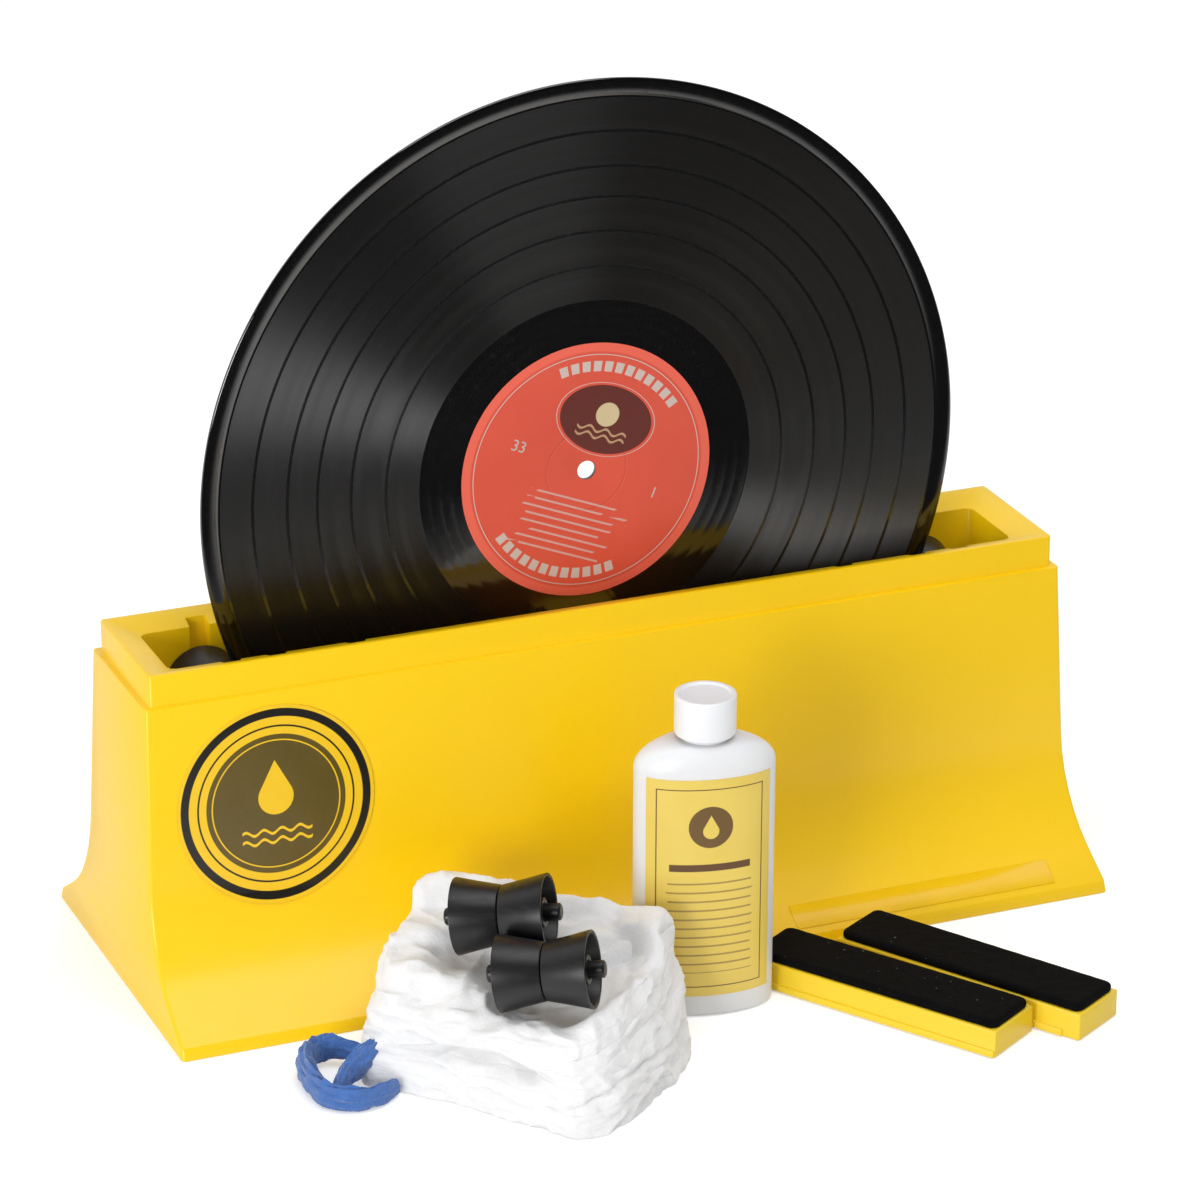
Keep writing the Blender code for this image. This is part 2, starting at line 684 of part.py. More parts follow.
def pad_mesh():
    """A velvet pad with a rounded crown, lying on the bar."""
    half_x = BAR_LENGTH / 2 - PAD_MARGIN
    half_y = BAR_WIDTH / 2 - PAD_MARGIN
    base = BAR_THICKNESS + GAP
    crown = base + PAD_THICKNESS - PAD_CROWN
    loops = [rounded_rectangle(half_x, half_y, PAD_CORNER, base)]
    for i in range(CROWN_STEPS + 1):
        angle = CROWN_ANGLE * DEG * i / CROWN_STEPS
        inset = PAD_CROWN * (1 - math.cos(angle))
        loops.append(rounded_rectangle(half_x - inset, half_y - inset, PAD_CORNER - inset,
                                       crown + PAD_CROWN * math.sin(angle)))
    return loft(loops)


def make_brush(name, parent, place, turn, bar_plastic, velvet):
    stand = add_empty(f"{name}_seat", parent, place, turn)
    add_object(f"{name}_bar", bar_mesh(), bar_plastic, stand)
    add_object(f"{name}_pad", pad_mesh(), velvet, stand)


def heading_of(turn):
    """Directions across and along a spare brush, for its turn in degrees."""
    across = Vector((math.cos(turn * DEG), math.sin(turn * DEG), 0))
    return across, Vector((-across.y, across.x, 0))


def spare_brush_corners(front):
    """Near left corners of the two spare brushes, placed back from the basin's foot."""
    across, along = heading_of(BRUSH_TURNS[1])
    far = across * (BAR_WIDTH + STRIP_PROUD) + along * BAR_LENGTH
    pitch = BAR_WIDTH + 2 * STRIP_PROUD + BRUSH_SIDE_GAP
    step = across * pitch - along * BRUSH_LEAD
    lean = BAR_LENGTH * math.sin(BRUSH_TURNS[0] * DEG)
    left_x = bottle_middle(front).x + BOTTLE_WIDTH / 2 + BRUSH_PAST_BOTTLE + lean
    right = Vector((left_x + step.x, front - BRUSH_FROM_FRONT - far.y, 0))
    return [right - step, right]


def make_brushes(datum, front):
    yellow = finish("yellow brush plastic", (0.87, 0.66, 0.04), 0.4)
    velvet = finish("black velvet", (0.008, 0.008, 0.009), 0.95)
    height = TROUGH_FLOOR + GAP + BAR_LENGTH / 2
    upright = Matrix.Rotation(90 * DEG, 3, "X") @ Matrix.Rotation(-90 * DEG, 3, "Z")
    front_turn = (Matrix.Rotation(math.pi, 3, "Z") @ upright).to_euler()
    make_brush("front_brush", datum, (0, -brush_back(), height), front_turn, yellow, velvet)
    make_brush("back_brush", datum, (0, brush_back(), height), upright.to_euler(),
               yellow, velvet)
    for name, corner, turn, flip in zip(("spare_brush_a", "spare_brush_b"),
                                        spare_brush_corners(front), BRUSH_TURNS, (1, -1)):
        across, along = heading_of(turn)
        middle = corner + across * BAR_WIDTH / 2 + along * BAR_LENGTH / 2
        facing = (0, 0, math.atan2(flip * along.y, flip * along.x))
        make_brush(name, datum, middle, facing, yellow, velvet)


def oval(half_x, half_y, z):
    return [(half_x * math.cos(2 * math.pi * i / BOTTLE_STEPS),
             half_y * math.sin(2 * math.pi * i / BOTTLE_STEPS), z)
            for i in range(BOTTLE_STEPS)]


def bottle_loops(inset, low, high, neck):
    """Sections of the oval bottle, shrunk by inset, from its foot up to its mouth."""
    half_x = BOTTLE_WIDTH / 2 - inset
    half_y = BOTTLE_DEPTH / 2 - inset
    loops = [oval(half_x - BOTTLE_FOOT, half_y - BOTTLE_FOOT, low),
             oval(half_x, half_y, low + BOTTLE_FOOT)]
    for i in range(SHOULDER_STEPS + 1):
        angle = math.pi / 2 * i / SHOULDER_STEPS
        loops.append(oval(neck + (half_x - neck) * math.cos(angle),
                          neck + (half_y - neck) * math.cos(angle),
                          BOTTLE_SHOULDER - inset + SHOULDER_RISE * math.sin(angle)))
    loops.append(oval(neck, neck, high))
    return loops


def cap_bottom():
    return BOTTLE_SHOULDER + SHOULDER_RISE + CAP_LIFT_OFF


def liner_bottom():
    return cap_bottom() + CAP_HEIGHT - CAP_TOP - GAP - LINER


def thread(radius, outward, low):
    """A helical ridge with its root sunk into a wall of this radius."""
    sign = 1 if outward else -1
    root = radius - sign * THREAD_SINK
    crest = radius + sign * THREAD_RISE
    section = [(root, -THREAD_ROOT / 2), (crest, -THREAD_CREST / 2),
               (crest, THREAD_CREST / 2), (root, THREAD_ROOT / 2)]
    loops = []
    for i in range(int(THREAD_TURNS * THREAD_STEPS) + 1):
        turn = i / THREAD_STEPS
        angle = 2 * math.pi * turn
        loops.append([(r * math.cos(angle), r * math.sin(angle),
                       low + THREAD_PITCH * turn + z) for r, z in section])
    return loft(loops)


def neck_thread_low():
    return cap_bottom() + THREAD_PITCH


def make_bottle(stand):
    plastic = finish("white bottle plastic", (0.84, 0.85, 0.86), 0.35)
    paper = finish("yellow bottle label", (0.88, 0.68, 0.12), 0.5)
    mouth = liner_bottom() - GAP
    bottle = add_object("bottle", loft(bottle_loops(0, 0, mouth, NECK_RADIUS)), plastic, stand)
    inside = bottle_loops(BOTTLE_WALL, BOTTLE_WALL, mouth + OVERRUN, NECK_BORE)
    ridge = thread(NECK_RADIUS, True, neck_thread_low())
    combine(bottle, cutter("neck_thread", ridge, stand), "UNION")
    combine(bottle, cutter("bottle_inside", loft(inside), stand), "DIFFERENCE")
    half_x = BOTTLE_WIDTH / 2 - BOTTLE_LABEL_SIDE
    blank = bmesh.new()
    top = BOTTLE_SHOULDER - BOTTLE_LABEL_TOP_DROP
    add_box(blank, (-half_x, -BOTTLE_DEPTH, BOTTLE_LABEL_LOW), (half_x, 0, top))
    label = add_object("bottle_label", blank, paper, stand)
    for name, proud, operation in (("label_over", PAPER_GAP + PAPER, "INTERSECT"),
                                   ("label_under", PAPER_GAP, "DIFFERENCE")):
        sleeve = loft([oval(BOTTLE_WIDTH / 2 + proud, BOTTLE_DEPTH / 2 + proud, z)
                       for z in (0, BOTTLE_SHOULDER)])
        combine(label, cutter(name, sleeve, stand), operation)


def make_cap(stand):
    """Screw cap with a sealing liner inside its top."""
    plastic = finish("white cap plastic", (0.86, 0.87, 0.88), 0.4)
    foam = finish("liner foam", (0.80, 0.80, 0.78), 0.8)
    bore = CAP_RADIUS - CAP_WALL
    top = CAP_HEIGHT - CAP_TOP
    axis = add_empty("cap_axis", stand, (0, 0, cap_bottom()))
    low = liner_bottom() - cap_bottom()
    disc = [(0, low + LINER), (bore - GAP, low + LINER), (bore - GAP, low), (0, low)]
    add_object("cap_liner", turned(disc, CAP_STEPS, closed=False), foam, axis)
    profile = [(0, CAP_HEIGHT), (CAP_RADIUS - CAP_ROUND, CAP_HEIGHT),
               (CAP_RADIUS, CAP_HEIGHT - CAP_ROUND), (CAP_RADIUS, 0), (bore, 0),
               (bore, top), (0, top)]
    cap = add_object("bottle_cap", turned(profile, CAP_STEPS, closed=False), plastic, axis)
    ridge = thread(bore, False, neck_thread_low() - cap_bottom() - THREAD_PITCH / 2)
    combine(cap, cutter("cap_thread", ridge, axis), "UNION")


def cloth_middle(front):
    return Vector((-CLOTH_FROM_MIDDLE, front - CLOTH_FROM_FRONT, 0))


def cloth_top(x, y, front):
    """Height of the soft top: its four corners differ, with a hollow for the rollers."""
    turn = Matrix.Rotation(-CLOTH_TURN * DEG, 3, "Z")
    spot = turn @ (Vector((x, y, 0)) - cloth_middle(front)) / CLOTH_SIDE
    u, v = spot.x + 0.5, spot.y + 0.5
    near, right, back, left = CLOTH_CORNER_SHARES
    share = (near * (1 - u) + right * u) * (1 - v) + (left * (1 - u) + back * u) * v
    away = Vector((spot.x - HOLLOW_PLACE_SHARE[0], spot.y - HOLLOW_PLACE_SHARE[1]))
    dip = HOLLOW_DEPTH_SHARE * math.exp(-(away.length / HOLLOW_SIZE_SHARE) ** 2)
    return CLOTH_HEIGHT * (share - dip)


def smooth_outline(shares, count):
    """Round a ring of corner shares into evenly spaced points on a closed curve."""
    points = []
    total = len(shares)
    for i in range(count):
        place = i * total / count
        k = int(place)
        t = place - k
        a, b, c, d = (Vector(shares[(k + j) % total]) for j in (-1, 0, 1, 2))
        points.append(0.5 * (2 * b + (c - a) * t + (2 * a - 5 * b + 4 * c - d) * t ** 2
                             + (3 * b - a - 3 * c + d) * t ** 3))
    return points


def cloth_point(share, height_share, front):
    """A point of the stack, kept clear of the skirt that it leans on."""
    middle = cloth_middle(front)
    x = middle.x + share.x * CLOTH_WIDTH
    y = middle.y + share.y * CLOTH_DEPTH
    z = height_share * cloth_top(x, y, front)
    limit = -wall_half_depth(max(z - CLOTH_GAP, 0)) - CLOTH_GAP
    return (x, min(y, limit), z)


def make_cloth(datum, front):
    white = finish("white cotton", (0.86, 0.86, 0.85), 0.95)
    foot = smooth_outline(CLOTH_FOOT_SHARES, CLOTH_STEPS)
    top = smooth_outline(CLOTH_TOP_SHARES, CLOTH_STEPS)
    loops = []
    for height_share, blend in CLOTH_LEVEL_SHARES:
        loops.append([cloth_point(a.lerp(b, blend), height_share, front)
                      for a, b in zip(foot, top)])
    middle = sum(top, Vector((0, 0))) / len(top)
    for ring in CLOTH_RING_SHARES:
        loops.append([cloth_point(middle.lerp(b, ring), 1, front) for b in top])
    add_object("drying_cloth", loft(loops), white, datum)


def hem_end(share, front):
    """A point just off the foot of the cloth, and the direction straight out from it."""
    foot = smooth_outline(CLOTH_FOOT_SHARES, CLOTH_STEPS)
    index = round(share * CLOTH_STEPS)
    before, spot, after = (Vector(cloth_point(foot[(index + i) % CLOTH_STEPS], 0, front))
                           for i in (-1, 0, 1))
    run = after - before
    out = Vector((run.y, -run.x, 0)).normalized()
    return spot + out * GAP, out


def make_hem(datum, front):
    """A flat woven edge that hangs out of the stack in a loop on the table."""
    blue = finish("blue woven hem", (0.05, 0.14, 0.42), 0.9)
    (rear, rear_out), (near, near_out) = (hem_end(share, front) for share in HEM_END_SHARES)
    rear.z = HEM_RISE
    route = interpolate_bezier(rear, rear + rear_out * HEM_REACH,
                               near + near_out * HEM_REACH, near, HEM_STEPS)
    sections = []
    for i, point in enumerate(route):
        run = route[min(i + 1, HEM_STEPS - 1)] - route[max(i - 1, 0)]
        side = Vector((run.y, -run.x, 0)).normalized() * HEM_THICKNESS / 2
        high = Vector((0, 0, HEM_WIDTH))
        sections.append([point - side, point + side, point + side + high,
                         point - side + high])
    add_object("cloth_hem", loft(sections), blue, datum)


def bottle_middle(front):
    side = -CLOTH_FROM_MIDDLE + CLOTH_WIDTH / 2 + BOTTLE_FROM_CLOTH
    return Vector((side + BOTTLE_WIDTH / 2, front - BOTTLE_FROM_FRONT, 0))


def main():
    for item in list(bpy.data.objects):
        bpy.data.objects.remove(item, do_unlink=True)
    front = -foot_half()[1]
    across, along = heading_of(BRUSH_TURNS[0])
    nearest = spare_brush_corners(front)[0] - across * STRIP_PROUD + along * BAR_BEVEL
    datum = add_empty("basin_datum", place=(0, (front - nearest.y) / 2, 0))
    make_basin(datum, finish("yellow basin plastic", (0.93, 0.64, 0.005), 0.32))
    make_stickers(datum)
    make_record(datum)
    make_rollers(datum, front)
    make_brushes(datum, front)
    stand = add_empty("bottle_stand", datum, bottle_middle(front), (0, 0, BOTTLE_TURN * DEG))
    make_bottle(stand)
    make_cap(stand)
    make_cloth(datum, front)
    make_hem(datum, front)


main()
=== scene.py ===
import math
import bmesh
import bpy
import numpy as np
from mathutils import Matrix, Vector, noise


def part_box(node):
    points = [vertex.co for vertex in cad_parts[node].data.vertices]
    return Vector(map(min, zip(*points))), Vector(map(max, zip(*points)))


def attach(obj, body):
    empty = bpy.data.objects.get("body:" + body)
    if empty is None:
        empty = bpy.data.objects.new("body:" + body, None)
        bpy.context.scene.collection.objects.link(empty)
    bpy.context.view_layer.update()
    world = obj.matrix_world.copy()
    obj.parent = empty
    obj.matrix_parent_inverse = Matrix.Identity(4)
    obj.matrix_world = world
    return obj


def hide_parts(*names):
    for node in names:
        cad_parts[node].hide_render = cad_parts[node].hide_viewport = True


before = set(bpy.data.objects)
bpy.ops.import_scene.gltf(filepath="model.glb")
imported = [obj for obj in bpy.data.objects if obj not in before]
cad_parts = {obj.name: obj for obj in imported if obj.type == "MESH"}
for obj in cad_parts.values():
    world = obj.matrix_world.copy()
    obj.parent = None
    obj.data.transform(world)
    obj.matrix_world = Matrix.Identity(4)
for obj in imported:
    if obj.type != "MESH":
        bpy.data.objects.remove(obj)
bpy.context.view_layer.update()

# Camera: a long lens to the left of the front and a little above the set, level but for a
# fifth of a degree.
scene = bpy.context.scene
scene.view_settings.view_transform = "Standard"
camera = bpy.data.objects.new("camera", bpy.data.cameras.new("camera"))
scene.collection.objects.link(camera)
scene.camera = camera
camera.data.lens = 155.3
camera.location = (-0.6872, -1.6088, 0.8683)
aim = Vector((0.0060, 0.0539, 0.1216)) - camera.location
level = aim.to_track_quat("-Z", "Y").to_matrix()
camera.rotation_euler = (level @ Matrix.Rotation(math.radians(0.21), 3, "Z")).to_euler()

# Room and light: a white paper sweep in a studio whose camera side is dark, so that gloss
# shows white only from behind and beside the set. A softbox at the front left and a wider one
# overhead light it, and the room fills the shadows.


def put(tree, socket, value):
    """Link an output to a socket, or set the socket's own value."""
    if isinstance(value, bpy.types.NodeSocket):
        tree.links.new(value, socket)
    else:
        socket.default_value = value


def calc(tree, operation, *values):
    """One math node."""
    node = tree.nodes.new("ShaderNodeMath")
    node.operation = operation
    for socket, value in zip(node.inputs, values):
        put(tree, socket, value)
    return node.outputs[0]


def seen_directly(tree):
    """One for rays from the camera, from gloss and through clear film."""
    path = tree.nodes.new("ShaderNodeLightPath")
    direct = calc(tree, "MAXIMUM", path.outputs["Is Camera Ray"], path.outputs["Is Glossy Ray"])
    return calc(tree, "MAXIMUM", direct, path.outputs["Is Transmission Ray"])


def smooth(tree, value, low, high):
    """From 0 at low to 1 at high, with soft ends."""
    node = tree.nodes.new("ShaderNodeMapRange")
    node.interpolation_type = "SMOOTHSTEP"
    put(tree, node.inputs["Value"], value)
    node.inputs["From Min"].default_value = low
    node.inputs["From Max"].default_value = high
    return node.outputs["Result"]


world = bpy.data.worlds.new("white room")
scene.world = world
world.use_nodes = True
background = world.node_tree.nodes["Background"]
background.inputs["Color"].default_value = (1, 1, 1, 1)
tree = world.node_tree
direction = tree.nodes.new("ShaderNodeTexCoord")
parts = tree.nodes.new("ShaderNodeSeparateXYZ")
tree.links.new(direction.outputs["Generated"], parts.inputs[0])
path = tree.nodes.new("ShaderNodeLightPath")
dark_side = calc(tree, "MULTIPLY", path.outputs["Is Glossy Ray"],
                 smooth(tree, parts.outputs["Y"], 0.25, -0.05))
FILL_LIGHT = 0.62
strength = calc(tree, "MULTIPLY_ADD", seen_directly(tree), 1 - FILL_LIGHT, FILL_LIGHT)
put(tree, background.inputs["Strength"],
    calc(tree, "MULTIPLY", strength, calc(tree, "MULTIPLY_ADD", dark_side, -0.985, 1.0)))

floor_mesh = bpy.data.meshes.new("floor")
bm = bmesh.new()
bmesh.ops.create_grid(bm, x_segments=1, y_segments=1, size=12)
bm.to_mesh(floor_mesh)
bm.free()
floor = bpy.data.objects.new("floor", floor_mesh)
scene.collection.objects.link(floor)
floor.location.z = -0.0002
paper = bpy.data.materials.new("white sweep")
paper.use_nodes = True
tree = paper.node_tree
tree.nodes.remove(tree.nodes["Principled BSDF"])
matt = tree.nodes.new("ShaderNodeBsdfDiffuse")
spot = tree.nodes.new("ShaderNodeNewGeometry")
parts = tree.nodes.new("ShaderNodeSeparateXYZ")
tree.links.new(spot.outputs["Position"], parts.inputs[0])
path = tree.nodes.new("ShaderNodeLightPath")
near_side = calc(tree, "MULTIPLY", path.outputs["Is Glossy Ray"],
                 smooth(tree, parts.outputs["Y"], -0.10, -0.35))
kept = calc(tree, "MULTIPLY_ADD", near_side, -0.97, 1.0)
put(tree, matt.inputs["Color"], calc(tree, "MULTIPLY", kept, 0.80))
glow = tree.nodes.new("ShaderNodeEmission")
put(tree, glow.inputs["Strength"],
    calc(tree, "MULTIPLY", kept, calc(tree, "MULTIPLY", seen_directly(tree), 0.40)))
both = tree.nodes.new("ShaderNodeAddShader")
tree.links.new(matt.outputs[0], both.inputs[0])
tree.links.new(glow.outputs[0], both.inputs[1])
tree.links.new(both.outputs[0], tree.nodes["Material Output"].inputs["Surface"])
floor_mesh.materials.append(paper)


def soft_lamp(name, place, width, height, power):
    """A rectangular lamp that faces the middle of the set."""
    data = bpy.data.lights.new(name, "AREA")
    data.shape = "RECTANGLE"
    data.size = width
    data.size_y = height
    data.energy = power
    lamp = bpy.data.objects.new(name, data)
    scene.collection.objects.link(lamp)
    lamp.location = place
    lamp.rotation_euler = (Vector((0, 0, 0.12)) - lamp.location).to_track_quat("-Z", "Y").to_euler()
    return lamp


soft_lamp("left softbox", (-1.75, -1.40, 0.40), 0.85, 0.70, 24.5)
soft_lamp("top softbox", (0.05, -0.35, 1.9), 1.4, 1.2, 13)

# Basin: one injection-moulded yellow polystyrene trough on a flared skirt. Its outer faces
# are satin, with small radii on every edge, faint flow marks and fine rub marks.


def cad_copy(node):
    """A welded copy of a CAD node, its flat faces made whole."""
    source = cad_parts[node].data
    mesh = bpy.data.meshes.new(node)
    mesh.from_pydata([v.co for v in source.vertices], [],
                     [tuple(face.vertices) for face in source.polygons])
    bm = bmesh.new()
    bm.from_mesh(mesh)
    bmesh.ops.remove_doubles(bm, verts=bm.verts, dist=2e-6)
    bmesh.ops.dissolve_limit(bm, angle_limit=math.radians(0.4), verts=bm.verts, edges=bm.edges)
    bmesh.ops.recalc_face_normals(bm, faces=bm.faces)
    return bm


def soften(bm, width, angle=28):
    """Round every edge sharper than an angle in degrees."""
    bm.normal_update()
    edges = [edge for edge in bm.edges if len(edge.link_faces) == 2
             and edge.calc_face_angle(0) > math.radians(angle)]
    bmesh.ops.bevel(bm, geom=edges, offset=width, offset_type="OFFSET", segments=2,
                    profile=0.5, affect="EDGES", material=-1, clamp_overlap=True)


def piece(name, bm, finish, body, nodes, sharp=32):
    """A finished piece that rides on a body and stands for CAD nodes."""
    mesh = bpy.data.meshes.new(name)
    bm.to_mesh(mesh)
    bm.free()
    mesh.shade_smooth()
    mesh.set_sharp_from_angle(angle=math.radians(sharp))
    mesh.materials.append(finish)
    item = bpy.data.objects.new(name, mesh)
    scene.collection.objects.link(item)
    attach(item, body)
    if nodes:
        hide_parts(*nodes)
    return item


def node_group(name, inputs, outputs):
    """An empty shader group with its ends in place."""
    tree = bpy.data.node_groups.new(name, "ShaderNodeTree")
    for label, value in inputs.items():
        socket = tree.interface.new_socket(name=label, in_out="INPUT",
                                           socket_type="NodeSocketFloat")
        socket.default_value = value
    for label, kind in outputs.items():
        tree.interface.new_socket(name=label, in_out="OUTPUT", socket_type=kind)
    return tree, tree.nodes.new("NodeGroupInput"), tree.nodes.new("NodeGroupOutput")


def noise_at(tree, scale, detail=3, stretch=(1, 1, 1), rough=0.5):
    """Noise in the piece's own metres."""
    place = tree.nodes.new("ShaderNodeTexCoord")
    squeeze = tree.nodes.new("ShaderNodeVectorMath")
    squeeze.operation = "MULTIPLY"
    squeeze.inputs[1].default_value = stretch
    tree.links.new(place.outputs["Object"], squeeze.inputs[0])
    node = tree.nodes.new("ShaderNodeTexNoise")
    tree.links.new(squeeze.outputs[0], node.inputs["Vector"])
    put(tree, node.inputs["Scale"], scale)
    node.inputs["Detail"].default_value = detail
    node.inputs["Roughness"].default_value = rough
    return node.outputs["Fac"]


def bump(tree, height, distance, strength=1.0):
    """A normal raised by a height map, its distance in metres."""
    node = tree.nodes.new("ShaderNodeBump")
    put(tree, node.inputs["Height"], height)
    put(tree, node.inputs["Distance"], distance)
    put(tree, node.inputs["Strength"], strength)
    return node.outputs["Normal"]


def moulded_surface():
    """Shared by all mouldings: grain, flow marks and rub marks as roughness and normal."""
    tree, start, end = node_group("moulded surface",
                                  {"Roughness": 0.3, "Grain": 700.0, "Depth": 0.00001},
                                  {"Roughness": "NodeSocketFloat", "Shade": "NodeSocketFloat",
                                   "Normal": "NodeSocketVector"})
    grain = noise_at(tree, start.outputs["Grain"], 2)
    flow = noise_at(tree, 9, 4, (1, 1, 0.35))
    rubs = noise_at(tree, 160, 2, (1, 1, 9))
    rubbed = calc(tree, "MULTIPLY", calc(tree, "POWER", rubs, 6.0), 1.6)
    varied = calc(tree, "MULTIPLY_ADD", calc(tree, "SUBTRACT", flow, 0.5), 0.16,
                  start.outputs["Roughness"])
    put(tree, end.inputs["Roughness"], calc(tree, "ADD", varied, calc(tree, "MULTIPLY", rubbed, 0.6)))
    put(tree, end.inputs["Shade"], calc(tree, "MULTIPLY_ADD", flow, 0.12, 0.94))
    height = calc(tree, "MULTIPLY_ADD", flow, 4.0, grain)
    put(tree, end.inputs["Normal"], bump(tree, height, start.outputs["Depth"]))
    return tree


moulded = moulded_surface()


def finish(name):
    """A new material, its tree and its Principled shader."""
    made = bpy.data.materials.new(name)
    made.use_nodes = True
    return made, made.node_tree, made.node_tree.nodes["Principled BSDF"]


def tint(tree, colour, factor):
    """A colour darkened or lightened by a value."""
    node = tree.nodes.new("ShaderNodeVectorMath")
    node.operation = "SCALE"
    put(tree, node.inputs[0], colour)
    put(tree, node.inputs["Scale"], factor)
    return node.outputs[0]


def plastic(name, colour, roughness, grain, depth, scatter=0.0):
    """A moulded plastic with the shared surface."""
    made, tree, shader = finish(name)
    surface = tree.nodes.new("ShaderNodeGroup")
    surface.node_tree = moulded
    surface.inputs["Roughness"].default_value = roughness
    surface.inputs["Grain"].default_value = grain
    surface.inputs["Depth"].default_value = depth
    put(tree, shader.inputs["Base Color"], tint(tree, colour, surface.outputs["Shade"]))
    tree.links.new(surface.outputs["Roughness"], shader.inputs["Roughness"])
    tree.links.new(surface.outputs["Normal"], shader.inputs["Normal"])
    shader.inputs["Subsurface Weight"].default_value = scatter
    shader.inputs["Subsurface Radius"].default_value = (0.004, 0.003, 0.001)
    return made


basin_yellow = plastic("yellow basin plastic", (0.93, 0.59, 0.0), 0.32, 900, 0.000012)
bm = cad_copy("basin")
soften(bm, 0.0004)
piece("basin_shell", bm, basin_yellow, "basin", ["basin"])

# Badge: a round printed film sticker on the front wall, 76 mm across, in olive-brown and
# yellow inks. Its print is plain rings round a drop over two waves.


def within(tree, value, low, high, soft):
    """One between low and high, with edges of a soft width."""
    rise = smooth(tree, value, low - soft, low + soft)
    fall = smooth(tree, value, high + soft, high - soft)
    return calc(tree, "MULTIPLY", rise, fall)


def mix(tree, factor, first, second):
    """Blend two colours."""
    node = tree.nodes.new("ShaderNodeMix")
    node.data_type = "RGBA"
    put(tree, node.inputs[0], factor)
    for socket, value in ((node.inputs[6], first), (node.inputs[7], second)):
        put(tree, socket, value if isinstance(value, bpy.types.NodeSocket) else (*value, 1))
    return node.outputs[2]


def flat_place(tree, centre, turn=0.0):
    """Across and up from a centre on a face seen from the front, turned in degrees."""
    place = tree.nodes.new("ShaderNodeTexCoord")
    parts = tree.nodes.new("ShaderNodeSeparateXYZ")
    tree.links.new(place.outputs["Object"], parts.inputs[0])
    x = calc(tree, "SUBTRACT", parts.outputs["X"], centre[0])
    z = calc(tree, "SUBTRACT", parts.outputs["Z"], centre[1])
    cos, sin = math.cos(math.radians(turn)), math.sin(math.radians(turn))
    across = calc(tree, "MULTIPLY_ADD", x, cos, calc(tree, "MULTIPLY", z, -sin))
    up = calc(tree, "MULTIPLY_ADD", x, sin, calc(tree, "MULTIPLY", z, cos))
    return across, up


def length_of(tree, across, up):
    """Distance from the centre of a flat place."""
    return calc(tree, "SQRT", calc(tree, "ADD", calc(tree, "MULTIPLY", across, across),
                                   calc(tree, "MULTIPLY", up, up)))


def drop_mask(tree, across, up, radius, soft):
    """A round-bottomed drop whose sides draw in to a point two radii up."""
    ball = smooth(tree, length_of(tree, across, up), radius + soft, radius - soft)
    rise = calc(tree, "SUBTRACT", calc(tree, "MULTIPLY", radius, 2.1), up)
    side = calc(tree, "SUBTRACT", calc(tree, "MULTIPLY", rise, 0.54),
                calc(tree, "ABSOLUTE", across))
    cone = calc(tree, "MULTIPLY", smooth(tree, side, -soft, soft),
                smooth(tree, up, radius * 0.42, radius * 0.5))
    return calc(tree, "MAXIMUM", ball, cone)


def wave_mask(tree, across, up, level, half, reach, soft):
    """A wavy line of an even width that stops short at both ends."""
    swing = calc(tree, "MULTIPLY", calc(tree, "SINE", calc(tree, "MULTIPLY", across, 900.0)), 0.0009)
    offset = calc(tree, "SUBTRACT", calc(tree, "SUBTRACT", up, level), swing)
    line = within(tree, offset, -half, half, soft)
    return calc(tree, "MULTIPLY", line, within(tree, across, -reach, reach, soft))


low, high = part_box("basin_badge")
badge_print, tree, shader = finish("printed badge film")
across, up = flat_place(tree, ((low.x + high.x) / 2, (low.z + high.z) / 2))
radius = length_of(tree, across, up)
edge = 0.00012
yellow_ink, olive_ink, black_ink = (0.90, 0.57, 0.01), (0.085, 0.056, 0.008), (0.012, 0.010, 0.008)
streaks = noise_at(tree, 60, 4, (1, 1, 1), 0.7)
olive = mix(tree, calc(tree, "MULTIPLY", streaks, 0.55), olive_ink, (0.20, 0.14, 0.02))
colour = mix(tree, smooth(tree, radius, 0.0268 + edge, 0.0268 - edge), yellow_ink, olive)
colour = mix(tree, within(tree, radius, 0.0296, 0.0303, edge), colour, black_ink)
colour = mix(tree, within(tree, radius, 0.0335, 0.0366, edge), colour, black_ink)
colour = mix(tree, within(tree, radius, 0.0243, 0.0248, edge), colour, yellow_ink)
drop = drop_mask(tree, across, calc(tree, "SUBTRACT", up, 0.0026), 0.0068, edge)
colour = mix(tree, drop, colour, yellow_ink)
for level in (-0.0105, -0.0142):
    wave = wave_mask(tree, across, up, level, 0.00055, 0.0135, edge)
    colour = mix(tree, wave, colour, yellow_ink)
put(tree, shader.inputs["Base Color"], colour)
put(tree, shader.inputs["Roughness"], calc(tree, "MULTIPLY_ADD", noise_at(tree, 45, 3), 0.22, 0.22))
put(tree, shader.inputs["Normal"], bump(tree, noise_at(tree, 70, 3), 0.00003))
shader.inputs["Coat Weight"].default_value = 0.25
shader.inputs["Coat Roughness"].default_value = 0.12
piece("badge_film", cad_copy("basin_badge"), badge_print, "basin", ["basin_badge"])

# Tape: a strip of clear film stuck along the foot of the front wall. It deepens the yellow
# under it and has long faint wrinkles and a few small bubbles.
clear_tape, tree, shader = finish("clear tape over yellow")
put(tree, shader.inputs["Base Color"],
    mix(tree, calc(tree, "POWER", noise_at(tree, 55, 3), 2.0), (0.86, 0.52, 0.002), (0.92, 0.61, 0.02)))
put(tree, shader.inputs["Roughness"], calc(tree, "MULTIPLY_ADD", noise_at(tree, 120, 2), 0.2, 0.08))
put(tree, shader.inputs["Normal"], bump(tree, noise_at(tree, 40, 3, (0.3, 1, 2.2)), 0.00018))
shader.inputs["Coat Weight"].default_value = 0.5
piece("tape_film", cad_copy("basin_tape"), clear_tape, "basin", ["basin_tape"])

